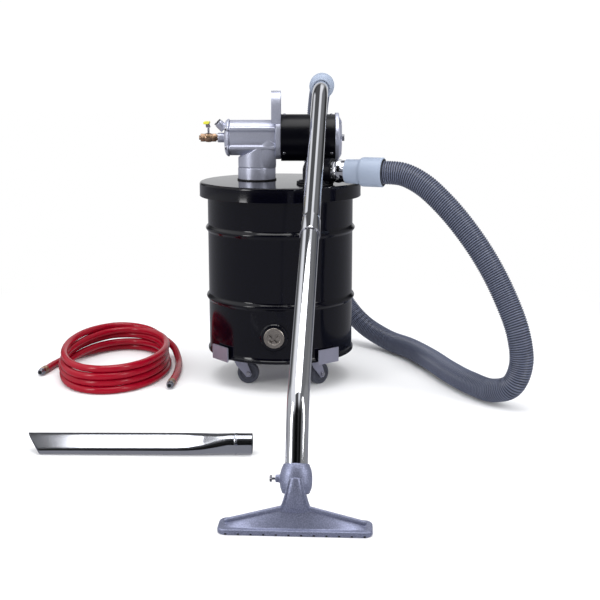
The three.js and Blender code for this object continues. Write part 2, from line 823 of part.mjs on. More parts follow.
add('inlet_tube', onInletAxis(ring(inletTubeRadius - inletTubeWall, inletTubeRadius,
  elbowReach - 18, inletTubeReach + 20)), chrome, inlet);

const cuffStart = inletTubeReach - 6;
const cuffShoulder = cuffStart + cuffNeckLength;
const cuffEnd = cuffShoulder + cuffBodyLength;
const cuffBore = inletTubeRadius + gap;
const cuffSocketDepth = 22;     // how far the hose goes into the cuff's body

function inletCuff() {
  const socket = boreFor(hoseRadius, socketPlay);
  return turned([
    [cuffBore, cuffStart], [cuffBore + cuffWall - 1, cuffStart],
    [cuffBore + cuffWall, cuffShoulder - 4], [cuffBodyRadius, cuffShoulder + 10],
    [cuffBodyRadius, cuffEnd - 2], [cuffBodyRadius - 2, cuffEnd], [socket, cuffEnd],
    [socket, cuffEnd - cuffSocketDepth], [cuffBore, cuffEnd - cuffSocketDepth - 8],
  ]);
}
add('hose_cuff_inlet', onInletAxis(inletCuff()), cuffVinyl, inlet);

// ---------------------------------------------------------------- wand

// The wand lies in an upright plane: v runs along the floor from its foot and w is the height.
const wand = group(wandFootX, wandFootY, 0, -wandTurn);

function lean(angle) {
  return new THREE.Vector3(0, Math.cos(angle * degrees), Math.sin(angle * degrees));
}

const footDirection = lean(footAngle);
const mainDirection = lean(mainAngle);
const topDirection = lean(topAngle);
const wandFoot = new THREE.Vector3(0, 0, wandFootZ);
const footVertex = wandFoot.clone().addScaledVector(footDirection, footLength);
const topVertex = footVertex.clone().addScaledVector(mainDirection, mainLength);
const wandTop = topVertex.clone().addScaledVector(topDirection, topLength);

// A straight-arc-straight bend: the arc's two ends and the quadratic curve between them.
function bendAt(vertex, inDirection, outDirection, turn, radius) {
  const reach = radius * Math.tan((turn / 2) * degrees);
  const start = vertex.clone().addScaledVector(inDirection, -reach);
  const end = vertex.clone().addScaledVector(outDirection, reach);
  return { start, end, curve: new THREE.QuadraticBezierCurve3(start, vertex, end) };
}

const lowerBend = bendAt(footVertex, footDirection, mainDirection, footAngle - mainAngle, footBend);
const upperBend = bendAt(topVertex, mainDirection, topDirection, mainAngle - topAngle, topBend);
const collarSeat = wandFoot.clone().addScaledVector(footDirection, 4);
const jointPoint = lowerBend.end.clone().addScaledVector(mainDirection, wandJoint - footLength);
const lowerEnd = jointPoint.clone().addScaledVector(mainDirection, wandOverlap);

function pathOf(...curves) {
  const path = new THREE.CurvePath();
  for (const curve of curves) path.add(curve);
  return path;
}

function lowerWand() {
  const path = pathOf(
    new THREE.LineCurve3(collarSeat, lowerBend.start), lowerBend.curve,
    new THREE.LineCurve3(lowerBend.end, lowerEnd),
  );
  return sweep(path, wandRadius, 16, wandSides, wandRadius - wandWall);
}
add('wand_lower', lowerWand(), chrome, wand);

function upperWand() {
  const mainPoint = (distance) => jointPoint.clone().addScaledVector(mainDirection, distance);
  const tubeFrom = (start, past) => pathOf(
    new THREE.LineCurve3(mainPoint(start), upperBend.start), upperBend.curve,
    new THREE.LineCurve3(upperBend.end, wandTop.clone().addScaledVector(topDirection, past)),
  );
  const socketLine = new THREE.LineCurve3(jointPoint, mainPoint(wandOverlap + 6));
  const socket = sweep(socketLine, wandRadius + wandSwell, 1, wandSides);
  const tube = sweep(tubeFrom(wandOverlap + 3, 0), wandRadius, 12, wandSides);
  const inside = sweep(tubeFrom(wandOverlap - 20, 5), wandRadius - wandWall, 12, wandSides);
  const boreLine = new THREE.LineCurve3(mainPoint(-5), mainPoint(wandOverlap + 1));
  const boreRadius = (wandRadius + gap) / Math.cos(Math.PI / wandSides);
  return combine([socket, tube], [inside, sweep(boreLine, boreRadius, 1, wandSides)]);
}

// The spring button stands out of the lower tube's underside and locks the flared socket.
const buttonPoint = jointPoint.clone().addScaledVector(mainDirection, 22);
const buttonRadius = 5;
const outward = new THREE.Vector3(0, Math.sin(mainAngle * degrees), -Math.cos(mainAngle * degrees));

function buttonShape(radius, inner, outer) {
  const from = buttonPoint.clone().addScaledVector(outward, inner);
  const to = buttonPoint.clone().addScaledVector(outward, outer);
  return sweep(new THREE.LineCurve3(from, to), radius, 1, 12);
}
const buttonHole = () => buttonShape(buttonRadius + gap, wandRadius - 6, wandRadius + 8);

add('wand_upper', toGeometry(toSolid(upperWand()).subtract(toSolid(buttonHole()))), chrome, wand);
wand.children.find((mesh) => mesh.name === 'wand_lower').geometry = toGeometry(
  toSolid(lowerWand()).subtract(toSolid(buttonHole())),
);
add('wand_button', buttonShape(buttonRadius, wandRadius - 5, wandRadius + 5), steel, wand);

const wandCuffFoot = wandTop.clone().addScaledVector(topDirection, -38);
const wandCuffEnd = wandCuffFoot.clone().addScaledVector(topDirection, wandCuffLength);

function wandCuff() {
  const bore = boreFor(wandRadius);
  const socket = boreFor(hoseRadius, socketPlay);
  const seat = 38 + 2;
  const cuff = turned([
    [bore, 0], [wandCuffRadius - 3, 0], [wandCuffRadius, 3], [wandCuffRadius, 30],
    [wandCuffBody, 42], [wandCuffBody, wandCuffLength],
    [socket, wandCuffLength], [socket, wandCuffLength - cuffSocketDepth],
    [bore, seat],
  ]);
  cuff.rotateX(-(90 - topAngle) * degrees);
  return cuff.translate(wandCuffFoot.x, wandCuffFoot.y, wandCuffFoot.z);
}
add('hose_cuff_wand', wandCuff(), cuffVinyl, wand);

// ---------------------------------------------------------------- floor tool

const collarFoot = wandFoot.clone().addScaledVector(footDirection, -collarLength / 2);
const toolFront = -74;          // front lip, from the wand's foot

function alongFoot(geometry) {
  return geometry.rotateX(-(90 - footAngle) * degrees).translate(wandFoot.x, wandFoot.y, wandFoot.z);
}

function toolCollar() {
  const bore = boreFor(wandRadius);
  const half = collarLength / 2;
  const barrel = turned([
    [bore - 4, -half], [collarRadius - 6, -half], [collarRadius, -half + 16],
    [collarRadius, half - 16], [collarRadius - 7, half], [bore, half], [bore, 3.5],
    [bore - 4, 3],
  ]);
  const boss = bar(10, 26, 46).rotateY(-Math.PI / 2);
  const tapped = bar(3.5 + gap, 20, 60).rotateY(-Math.PI / 2);
  const bored = combine([barrel, boss], [tapped, bar(bore, 3.6, half - 1)]);
  return alongFoot(bored);
}
add('tool_collar', toolCollar(), castAluminium, wand);

function toolScrew() {
  const shaft = bar(3.5, wandRadius + 1, 54);
  const knob = bar(8, 54, 59);
  return alongFoot(combine([shaft, knob]).rotateY(-Math.PI / 2));
}
add('tool_screw', toolScrew(), steel, wand);

function floorTool() {
  const half = toolWidth / 2;
  const front = outline([
    [-half + 4, 0], [half - 4, 0], [half, 4], [half, toolLip - 3], [half - 6, toolLip + 12],
    [34, toolPeak], [-34, toolPeak], [-half + 6, toolLip + 12], [-half, toolLip - 3], [-half, 4],
  ]);
  const wings = plate(front, toolDepth).rotateX(Math.PI / 2).translate(0, toolFront + toolDepth, 0);
  const side = outline([
    [toolFront, -1], [toolFront + toolDepth, -1], [toolFront + toolDepth, 22],
    [toolFront + toolDepth - 8, toolPeak + 2], [toolFront + 26, toolPeak + 2],
    [toolFront + 8, toolLip + 2], [toolFront, toolLip],
  ]);
  const sideCut = plate(side, toolWidth + 10).rotateX(Math.PI / 2).rotateZ(Math.PI / 2);
  sideCut.translate(-half - 5, 0, 0);
  const neckTop = -collarLength / 2 - gap;
  const neck = alongFoot(bar(wandRadius + 4, neckTop - 62, neckTop));
  const bore = alongFoot(bar(wandRadius - 4, neckTop - 50, neckTop + 5));
  const slot = block(toolSlotWidth, toolSlotDepth, 30, 0, toolFront + toolDepth / 2, 3);
  const floorCut = block(600, 600, 200, 0, 0, -100);
  const body = toSolid(wings).intersect(toSolid(sideCut)).add(toSolid(neck));
  return toGeometry([bore, slot, floorCut].reduce((solid, cut) => solid.subtract(toSolid(cut)), body));
}
add('floor_tool', floorTool(), castAluminium, wand);

// ---------------------------------------------------------------- suction hose

const upright = new THREE.Vector3(0, 0, 1);
const inletAxis = new THREE.Vector3(1, 0, 0).applyAxisAngle(upright, inletTurn * degrees);
const topAxis = topDirection.clone().applyAxisAngle(upright, -wandTurn * degrees);
const cuffMouth = new THREE.Vector3(inletX, inletY, inletZ).addScaledVector(inletAxis, cuffEnd);
const wandMouth = wandCuffEnd.clone().applyAxisAngle(upright, -wandTurn * degrees)
  .add(new THREE.Vector3(wandFootX, wandFootY, 0));
const socketSteps = [gap - cuffSocketDepth, -cuffSocketDepth / 2, 2, 14];

// The hose is straight in both sockets and just outside them.
const straightRun = (mouth, axis) => socketSteps.map((step) => mouth.clone().addScaledVector(axis, step));

// The free part of the route: out and down on the right, back along the floor, up behind the drum.
const hoseRoute = [
  [376, -203, 682], [432, -230, 655], [494, -262, 600], [556, -296, 527], [613, -330, 443], [664, -362, 345],
  [704, -398, 235], [716, -404, 140], [694, -390, 72], [648, -338, 42], [594, -240, 38],
  [546, -110, 38], [502, 50, 38], [448, 200, 38], [372, 325, 42], [285, 405, 88],
  [206, 440, 190], [156, 440, 320], [132, 438, 460], [118, 436, 600], [113, 436, 710],
];

// The last bend over the wand's cuff, measured from the cuff's mouth.
const hoseTop = [[-16, 190, -152], [-11, 170, -80], [-5, 132, -26], [0, 84, 1]];
const hoseCurve = new THREE.CatmullRomCurve3([
  ...straightRun(cuffMouth, inletAxis),
  ...hoseRoute.map(([x, y, z]) => new THREE.Vector3(x, y, z)),
  ...hoseTop.map(([x, y, z]) => wandMouth.clone().add(new THREE.Vector3(x, y, z))),
  ...straightRun(wandMouth, topAxis).reverse(),
], false, 'centripetal');
add('vacuum_hose', sweep(hoseCurve, hoseRadius, 48, 10), hoseVinyl);

// ---------------------------------------------------------------- crevice tool

function creviceTool() {
  const sides = 16;
  const flatEnd = creviceLength - creviceSocket - creviceTaper;
  const stations = [
    [0, creviceFlatWidth / 2, creviceFlatHeight / 2],
    [flatEnd, creviceFlatWidth / 2, creviceFlatHeight / 2],
    [flatEnd + creviceTaper * 0.5, creviceFlatWidth / 2 - 2, creviceRadius * 0.72],
    [creviceLength - creviceSocket, creviceRadius, creviceRadius],
    [creviceLength, creviceRadius, creviceRadius],
  ];
  const [cos, sin] = [Math.cos(creviceRoll * degrees), Math.sin(creviceRoll * degrees)];
  const tipHeight = (creviceFlatWidth / 2) * sin + (creviceFlatHeight / 2) * cos - 3;
  const axisHeight = (x) => THREE.MathUtils.lerp(tipHeight, creviceRadius, x / creviceLength);
  const loft = (inset) => {
    const points = [];
    const index = [];
    stations.forEach(([x, halfWidth, halfHeight], row) => {
      const past = inset === 0 ? 0 : (row === 0 ? -4 : row === stations.length - 1 ? 4 : 0);
      for (let i = 0; i < sides; i += 1) {
        const angle = (2 * Math.PI * i) / sides;
        const power = row < 2 ? 0.55 : 1;
        const spread = (value) => Math.sign(value) * Math.abs(value) ** power;
        const y = (halfWidth - inset) * spread(Math.cos(angle));
        const z = (halfHeight - inset) * spread(Math.sin(angle));
        points.push(x + past, y * cos - z * sin, y * sin + z * cos + axisHeight(x));
      }
    });
    for (let row = 0; row < stations.length - 1; row += 1) {
      for (let i = 0; i < sides; i += 1) {
        const a = row * sides + i;
        const b = row * sides + ((i + 1) % sides);
        index.push(a, b, b + sides, a, b + sides, a + sides);
      }
    }
    const last = (stations.length - 1) * sides;
    for (let i = 1; i < sides - 1; i += 1) {
      index.push(0, i + 1, i, last, last + i, last + i + 1);
    }
    const geometry = new THREE.BufferGeometry();
    geometry.setAttribute('position', new THREE.Float32BufferAttribute(points, 3));
    geometry.setIndex(index);
    return rightWayOut(geometry);
  };
  const tipCut = block(120, 200, 120, -60, 0, 0).rotateZ(32 * degrees).translate(20, 0, 20);
  return combine([loft(0)], [loft(creviceWall), tipCut]);
}
const crevice = group(creviceX, creviceY, gap, -1.5);
add('crevice_tool', creviceTool(), chrome, crevice);

// ---------------------------------------------------------------- air hose

function oval(halfWidth, halfLength) {
  return new THREE.EllipseCurve(0, 0, halfWidth, halfLength).getPoints(32).slice(0, -1);
}

function airHoseCoil() {
  const shape = new THREE.Shape(oval(coilHalfWidth, coilHalfLength));
  shape.holes.push(new THREE.Path(oval(coilHalfWidth - coilBand, coilHalfLength - coilBand)));
  return plate(shape, coilHeight).translate(0, 0, gap);
}
const coil = group(coilX, coilY, 0);
add('air_hose_coil', airHoseCoil(), redVinyl, coil);

// The two free ends leave the coil along the floor and end in threaded fittings.
const tails = [
  { name: 'left', from: [-201, 95], over: [-219, 19], to: [-229, -33] },
  { name: 'right', from: [206, 135], over: [216, -35], to: [209, -187] },
];
for (const { name, from, over, to } of tails) {
  const heading = Math.atan2(to[1] - over[1], to[0] - over[0]);
  const z = airHoseRadius + gap;
  const point = ([x, y]) => new THREE.Vector3(x, y, z);
  const curve = new THREE.QuadraticBezierCurve3(point(from), point(over), point(to));
  add(`air_hose_end_${name}`, sweep(curve, airHoseRadius, 5, 8), redVinyl, coil);
  const fitting = combine([
    bar(13, gap, 22), hexagon(22, 20, 32), bar(9, 30, 46),
  ], [bar(5.5, 10, 60)]);
  fitting.rotateX(-Math.PI / 2).rotateZ(heading - Math.PI / 2);
  add(`air_fitting_${name}`, fitting.translate(to[0], to[1], 13 + gap), brass, coil);
}

// ---------------------------------------------------------------- origin

// The kit's origin is the middle of its footprint on the floor, hose and air hose left out.
const footprint = {
  left: creviceX,
  right: cuffMouth.x - cuffBodyRadius * inletAxis.y,
  front: wandFootY + toolFront - (toolWidth / 2) * Math.sin(wandTurn * degrees),
  back: lidRadius,
};
kit.position.set(-(footprint.left + footprint.right) / 2, -(footprint.front + footprint.back) / 2, 0);

export default kit;
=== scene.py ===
"""Looks of the compressed-air drum vacuum kit: detailed pieces, finishes, light and camera.

Each piece rides on the body of the CAD node that it stands for.
"""
import math

import bpy
import bmesh
import numpy as np
from mathutils import Matrix, Vector


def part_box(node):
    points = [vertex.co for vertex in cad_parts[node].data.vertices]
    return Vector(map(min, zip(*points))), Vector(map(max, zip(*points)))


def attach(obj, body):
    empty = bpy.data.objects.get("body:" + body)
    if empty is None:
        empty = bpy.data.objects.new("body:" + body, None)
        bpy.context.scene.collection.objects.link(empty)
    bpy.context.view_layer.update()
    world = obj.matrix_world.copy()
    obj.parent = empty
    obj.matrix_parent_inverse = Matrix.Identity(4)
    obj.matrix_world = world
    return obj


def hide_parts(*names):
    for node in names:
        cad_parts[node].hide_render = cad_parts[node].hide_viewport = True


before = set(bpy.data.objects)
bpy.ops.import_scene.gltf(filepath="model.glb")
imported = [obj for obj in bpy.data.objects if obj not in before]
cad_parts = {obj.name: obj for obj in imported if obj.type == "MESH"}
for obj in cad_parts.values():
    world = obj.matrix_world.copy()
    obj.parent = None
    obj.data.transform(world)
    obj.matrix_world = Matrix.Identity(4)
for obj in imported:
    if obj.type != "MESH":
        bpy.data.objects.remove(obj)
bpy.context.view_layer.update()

# ---------------------------------------------------------------- frames

Z = Vector((0, 0, 1))


def corners(node):
    """The low and high corners of a CAD node's box, in metres."""
    low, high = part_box(node)
    return Vector(low), Vector(high)


def turn(degrees, axis="Z"):
    """A turn about one axis."""
    return Matrix.Rotation(math.radians(degrees), 4, axis)


def shift(x=0.0, y=0.0, z=0.0):
    """A move."""
    return Matrix.Translation((x, y, z))


drum_low, drum_high = corners("drum_shell")
drum_axis = (drum_low + drum_high) / 2
KIT = shift(drum_axis.x, drum_axis.y) @ Matrix.Scale(0.001, 4)

DRUM_FOOT = drum_low.z * 1000
DRUM_TOP = drum_high.z * 1000
LID_TOP = corners("lid")[1].z * 1000
LID_SKIRT = corners("lid")[0].z * 1000
muffler_low, muffler_high = corners("muffler_shell")
HEAD_Z = (muffler_low.z + muffler_high.z) * 500

ALONG_X = turn(90, "Y")
HEAD_X, HEAD_Y = -76, 30
HEAD = KIT @ shift(HEAD_X, HEAD_Y, HEAD_Z) @ ALONG_X
HEAD_FOOT = KIT @ shift(HEAD_X, HEAD_Y)
INLET_FOOT = KIT @ shift(110, -105) @ turn(-20)
INLET_Z = LID_TOP + 42
INLET = INLET_FOOT @ shift(z=INLET_Z) @ ALONG_X
WAND_AT = Vector((55, -1246, 0))
WAND_TURN = 3.2
WAND = KIT @ Matrix.Translation(WAND_AT) @ turn(-WAND_TURN)
CREVICE = KIT @ shift(-662, -768, 0.3) @ turn(-1.5)
COIL = KIT @ shift(-557, 45)
DRAIN = KIT @ shift(z=DRUM_FOOT + 87) @ turn(-4) @ turn(90, "X")

# ---------------------------------------------------------------- materials

BROAD_PATCH = 71.43             # mm across one slow change in gloss and tint
SPECK_SHARE = 0.6               # specks for each grain of a finish
RELIEF_DEPTH = 0.0006           # metres that a bump of strength 1 stands for


def linear(colour):
    """The linear red, green and blue of an sRGB hex colour."""
    shares = [int(colour[i:i + 2], 16) / 255 for i in (1, 3, 5)]
    return [s / 12.92 if s <= 0.04045 else ((s + 0.055) / 1.055) ** 2.4 for s in shares]


def add(tree, kind, inputs=(), **settings):
    """One node with its settings; an input is a value or the socket that feeds it."""
    node = tree.nodes.new(kind)
    for key, value in settings.items():
        setattr(node, key, value)
    for key, value in dict(inputs).items():
        if isinstance(value, bpy.types.NodeSocket):
            tree.links.new(value, node.inputs[key])
        else:
            node.inputs[key].default_value = value
    return node


def nodes_of(material):
    """A material's node tree and its shader."""
    material.use_nodes = True
    tree = material.node_tree
    return tree, tree.nodes["Principled BSDF"]


def surface(name, colour, metallic=0.0, roughness=0.4, bump=0.0, grain=3.333, spread=0.06,
            specular=0.5, mottled=0.0, speckle=0.0):
    """A finish whose roughness, colour and relief vary a little with noise; grain is in mm."""
    material = bpy.data.materials.new(name)
    tree, shader = nodes_of(material)
    tone = linear(colour)
    shader.inputs["Metallic"].default_value = metallic
    shader.inputs["Specular IOR Level"].default_value = specular
    where = add(tree, "ShaderNodeTexCoord").outputs["Object"]
    broad = add(tree, "ShaderNodeTexNoise",
                {"Vector": where, "Scale": 1000 / BROAD_PATCH, "Detail": 5}).outputs["Fac"]
    gloss = add(tree, "ShaderNodeMapRange", {"Value": broad, "To Min": max(0.0, roughness - spread),
                                             "To Max": roughness + spread})
    tree.links.new(gloss.outputs["Result"], shader.inputs["Roughness"])
    shader.inputs["Base Color"].default_value = (*tone, 1)
    if mottled or speckle:
        tint = add(tree, "ShaderNodeMix", {
            "A": (*[c * (1 - mottled) for c in tone], 1),
            "B": (*[min(1, c * (1 + mottled)) for c in tone], 1),
            "Factor": broad,
        }, data_type="RGBA")
        tree.links.new(tint.outputs["Result"], shader.inputs["Base Color"])
    if speckle:
        spots = add(tree, "ShaderNodeTexNoise", {
            "Vector": where, "Scale": SPECK_SHARE * 1000 / grain, "Detail": 2,
        })
        sharper = add(tree, "ShaderNodeMapRange", {"Value": spots.outputs["Fac"],
                                                   "From Min": 0.38, "From Max": 0.62})
        specks = add(tree, "ShaderNodeMix", {
            "A": tint.outputs["Result"],
            "B": (*[min(1, c * (1 + speckle)) for c in tone], 1),
            "Factor": sharper.outputs["Result"],
        }, data_type="RGBA")
        tree.links.new(specks.outputs["Result"], shader.inputs["Base Color"])
    if bump:
        fine = add(tree, "ShaderNodeTexNoise",
                   {"Vector": where, "Scale": 1000 / grain, "Detail": 3})
        relief = add(tree, "ShaderNodeBump", {"Strength": bump, "Distance": RELIEF_DEPTH,
                                              "Height": fine.outputs["Fac"]})
        tree.links.new(relief.outputs["Normal"], shader.inputs["Normal"])
    return material


# Baked enamel on steel: deep black with sharp reflections that waver a little.
enamel = surface("black_enamel", "#03030a", roughness=0.11, spread=0.03, bump=0.03, grain=8.333,
                 specular=0.4)
# Powder coat on sheet: black with a soft sheen and a fine orange peel.
powder = surface("black_powder_coat", "#03030a", roughness=0.3, bump=0.12, grain=1.111,
                 specular=0.24)
# Machined and tumbled aluminium casting: pale satin grey with faint specks.
casting = surface("cast_aluminium", "#bcbfd0", metallic=0.7, roughness=0.38, bump=0.2, grain=1.4286,
                  mottled=0.06, speckle=0.12)
# Sand-cast aluminium as cast: grey, grainy to the eye, with broad darker patches.
rough_casting = surface("grained_casting", "#7c8097", metallic=0.65, roughness=0.4, bump=0.7,
                        grain=1.6129, mottled=0.3, speckle=0.45)
# Chrome plate on polished tube: a near mirror.
chrome = surface("chrome", "#dddee3", metallic=1.0, roughness=0.05, spread=0.02)
# Chromed pressing: bright, with reflections softened by the press.
pressed = surface("pressed_steel", "#ced0d8", metallic=1.0, roughness=0.13, spread=0.04,
                  mottled=0.05)
# Zinc plate: dull lilac grey with cloudy patches.
zinc = surface("zinc_plate", "#aaaabc", metallic=0.75, roughness=0.42, bump=0.1, grain=5,
               mottled=0.12)
# Machined steel: bright, with short blurred reflections.
steel = surface("machined_steel", "#bcbcc4", metallic=1.0, roughness=0.24)
# Blackened steel bolts: almost black with a dull shine.
dark_steel = surface("dark_steel", "#45454b", metallic=0.8, roughness=0.4)
# Sand-cast valve bronze: brown and slightly rough.
brass = surface("valve_bronze", "#ad9079", metallic=0.9, roughness=0.33, bump=0.3, grain=2,
                mottled=0.15)
# Worn nickel plate: warm grey with darker clouds.
nickel = surface("nickel_plate", "#9e9790", metallic=0.9, roughness=0.3, bump=0.2, grain=3.333,
                 mottled=0.2)
# Moulded wheel rubber: dark grey and matt.
tread = surface("wheel_rubber", "#3f414d", roughness=0.6, bump=0.2, grain=1.4286)
# Gasket rubber: black and matt.
rubber = surface("gasket_rubber", "#161619", roughness=0.5)
# Moulded soft vinyl: pale blue grey with a wide soft highlight.
cuff_vinyl = surface("cuff_vinyl", "#95a0b3", roughness=0.4, bump=0.05, grain=3.333, specular=0.35)
# Extruded hose vinyl: dark blue grey, shiny on the crests of its ribs, with painted shade in the
# grooves between them.
hose_vinyl = surface("hose_vinyl", "#61677c", roughness=0.32, mottled=0.06)
# Dipped vinyl: bright yellow and smooth.
grip_vinyl = surface("grip_vinyl", "#cecb38", roughness=0.35)
# Extruded air-hose vinyl: deep red with a long clear highlight.
red_vinyl = surface("air_hose_vinyl", "#95001d", roughness=0.24, specular=0.4, mottled=0.05)
# Needle felt: cream, matt and fibrous.
felt = surface("filter_felt", "#cecbc2", roughness=0.95, bump=0.8, grain=1.4286)
# Open foam: near black and matt.
foam = surface("muffler_foam", "#38383f", roughness=0.95, bump=1.0, grain=2)
# Painted shadow for unlit bores and notches: black.
shadow = surface("painted_recess_shadow", "#0a0a0d", roughness=0.8)


def paint_groove_shade(material, groove_shade):
    """Paints shade into a ribbed hose: a darker colour mixed in between its ribs."""
    tree, shader = nodes_of(material)
    crest = shader.inputs["Base Color"].links[0].from_socket
    rib_share = add(tree, "ShaderNodeAttribute", attribute_name="rib").outputs["Fac"]
    both = add(tree, "ShaderNodeMix", {"A": (*linear(groove_shade), 1), "B": crest,
                                       "Factor": rib_share}, data_type="RGBA")
    tree.links.new(both.outputs["Result"], shader.inputs["Base Color"])


# Painted shade: a near-black blue laid into the hose's grooves.
paint_groove_shade(hose_vinyl, "#1c1f28")

# ---------------------------------------------------------------- mesh helpers


def fillet(profile, radius, closed, steps=4):
    """The same outline with its corners rounded."""
    out = []
    count = len(profile)
    for i, point in enumerate(profile):
        if not closed and i in (0, count - 1):
            out.append(tuple(point))
            continue
        here = Vector(point)
        back = Vector(profile[i - 1]) - here
        ahead = Vector(profile[(i + 1) % count]) - here
        bend = math.pi - back.angle(ahead, math.pi)
        if bend < math.radians(12) or radius == 0:
            out.append(tuple(point))
            continue
        reach = min(radius * math.tan(bend / 2), 0.45 * back.length, 0.45 * ahead.length)
        start = here + back.normalized() * reach
        end = here + ahead.normalized() * reach
        for k in range(steps + 1):
            t = k / steps
            out.append(tuple((1 - t) ** 2 * start + 2 * t * (1 - t) * here + t * t * end))
    return out


def lathe(profile, sides=96, radius=0.8):
    """Points and faces of [radius, height] points turned about Z."""
    closed = not (profile[0][0] == 0 and profile[-1][0] == 0)
    rows = fillet(profile, radius, closed)
    points, faces, rings = [], [], []
    for r, z in rows:
        around = 1 if r < 1e-6 else sides
        rings.append((len(points), around))
        for k in range(around):
            angle = 2 * math.pi * k / sides
            points.append((r * math.cos(angle), r * math.sin(angle), z))
    last = len(rows) if closed else len(rows) - 1
    for i in range(last):
        (a, na), (b, nb) = rings[i], rings[(i + 1) % len(rows)]
        for k in range(sides):
            m = (k + 1) % sides
            if na > 1 and nb > 1:
                faces.append((a + k, a + m, b + m, b + k))
            elif nb > 1:
                faces.append((a, b + m, b + k))
            elif na > 1:
                faces.append((a + k, a + m, b))
    return points, faces


def bar(radius, low, high, sides=64, corner=0.8):
    """A round bar about Z."""
    return lathe([(0, low), (radius, low), (radius, high), (0, high)], sides, corner)


def ring(inner, outer, low, high, sides=96, corner=0.6):
    """A round bar with a bore."""
    return lathe([(inner, low), (outer, low), (outer, high), (inner, high)], sides, corner)


def prism(outline, low, high):
    """An outline in X and Y stood up from low to high."""
    count = len(outline)
    points = [(x, y, low) for x, y in outline] + [(x, y, high) for x, y in outline]
    faces = [tuple(range(count - 1, -1, -1)), tuple(range(count, 2 * count))]
    faces += [(i, (i + 1) % count, count + (i + 1) % count, count + i) for i in range(count)]
    return points, faces


def hexagon(across, low, high, at_angle=0):
    """A hexagonal bar of the given width across flats."""
    reach = across / math.sqrt(3)
    return prism([(reach * math.cos(math.radians(60 * i + at_angle)),
                   reach * math.sin(math.radians(60 * i + at_angle))) for i in range(6)],
                 low, high)


def block(width, depth, height, x=0, y=0, z=0):
    """A box about a middle."""
    w, d, h = width / 2, depth / 2, height / 2
    return prism([(x - w, y - d), (x + w, y - d), (x + w, y + d), (x - w, y + d)], z - h, z + h)


def grid(rows, close_rows=False, caps=True):
    """A surface over rows of rings that all have the same number of points."""
    rows = np.asarray(rows, dtype=float)
    count, sides = rows.shape[:2]
    points = [tuple(p) for p in rows.reshape(-1, 3)]
    faces = []
    for i in range(count if close_rows else count - 1):
        a, b = i * sides, ((i + 1) % count) * sides
        faces += [(a + k, a + (k + 1) % sides, b + (k + 1) % sides, b + k) for k in range(sides)]
    if caps and not close_rows:
        faces.append(tuple(range(sides - 1, -1, -1)))
        faces.append(tuple(range((count - 1) * sides, count * sides)))
    return points, faces


def tube(path, radii, sides=32, caps=True):
    """A tube along a path; radii is one number, one per point, or one per point and side."""
    path = np.asarray(path, dtype=float)
    along = np.gradient(path, axis=0)
    along /= np.linalg.norm(along, axis=1)[:, None]
    side = np.cross(along[0], (0, 0, 1) if abs(along[0][2]) < 0.9 else (1, 0, 0))
    across = []
    for direction in along:
        side = side - direction * side.dot(direction)
        side /= np.linalg.norm(side)
        across.append(side)
    across = np.array(across)
    over = np.cross(along, across)
    angles = 2 * np.pi * np.arange(sides) / sides
    radii = np.asarray(radii, dtype=float)
    if radii.ndim < 2:
        radii = np.broadcast_to(radii.reshape(-1, 1), (len(path), sides))
    rows = (path[:, None, :] + radii[..., None] * (
        np.cos(angles)[None, :, None] * across[:, None, :]
        + np.sin(angles)[None, :, None] * over[:, None, :]))
    return grid(rows, caps=caps)


def moved(shape, matrix):
    """A shape's points and faces after a move."""
    points, faces = shape
    return [tuple(matrix @ Vector(p)) for p in points], faces


def joined(*shapes):
    """Several shapes as one."""
    points, faces = [], []
    for p, f in shapes:
        base = len(points)
        points += p
        faces += [tuple(base + i for i in face) for face in f]
    return points, faces


def put(name, shape, matrix, material, body, nodes=(), bevel=0.0, sharp=38):
    """One piece: its mesh, finish, body, and the CAD nodes that it stands for."""
    points, faces = moved(shape, matrix)
    mesh = bpy.data.meshes.new(name)
    mesh.from_pydata(points, [], faces)
    shape_edit = bmesh.new()
    shape_edit.from_mesh(mesh)
    bmesh.ops.recalc_face_normals(shape_edit, faces=shape_edit.faces)
    shape_edit.to_mesh(mesh)
    shape_edit.free()
    mesh.polygons.foreach_set("use_smooth", [True] * len(mesh.polygons))
    mesh.set_sharp_from_angle(angle=math.radians(sharp))
    mesh.materials.append(material)
    piece = bpy.data.objects.new(name, mesh)
    bpy.context.scene.collection.objects.link(piece)
    if bevel:
        rounding = piece.modifiers.new("rounding", "BEVEL")
        rounding.width = bevel * 0.001
        rounding.segments = 3
        rounding.limit_method = "ANGLE"
        rounding.angle_limit = math.radians(30)
        rounding.harden_normals = True
    if body:
        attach(piece, body)
    if nodes:
        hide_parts(*nodes)
    return piece


def cut(piece, *shapes):
    """Cuts shapes out of a piece, and applies the result."""
    tools = [put("cutter", shape, matrix, shadow, None) for shape, matrix in shapes]
    for tool in tools:
        step = piece.modifiers.new("cut", "BOOLEAN")
        step.operation = "DIFFERENCE"
        step.solver = "EXACT"
        step.object = tool
    bake(piece)
    for tool in tools:
        bpy.data.objects.remove(tool)
    return piece


def bake(piece, sharp=38):
    """Applies a piece's modifiers."""
    bpy.context.view_layer.update()
    shaped = piece.evaluated_get(bpy.context.evaluated_depsgraph_get())
    mesh = bpy.data.meshes.new_from_object(shaped)
    piece.modifiers.clear()
    piece.data = mesh
    mesh.polygons.foreach_set("use_smooth", [True] * len(mesh.polygons))
    mesh.set_sharp_from_angle(angle=math.radians(sharp))


def cast(name, shapes, matrix, material, body, nodes=(), grain=1.5, soften=8):
    """Closed shapes melted into one casting with soft inside corners."""
    piece = put(name, joined(*shapes), matrix, material, body, nodes)
    melt = piece.modifiers.new("melt", "REMESH")
    melt.mode = "VOXEL"
    melt.voxel_size = grain * 0.001
    melt.use_smooth_shade = True
    soft = piece.modifiers.new("soften", "SMOOTH")
    soft.factor = 0.5
    soft.iterations = soften
    bake(piece, sharp=180)
    return piece


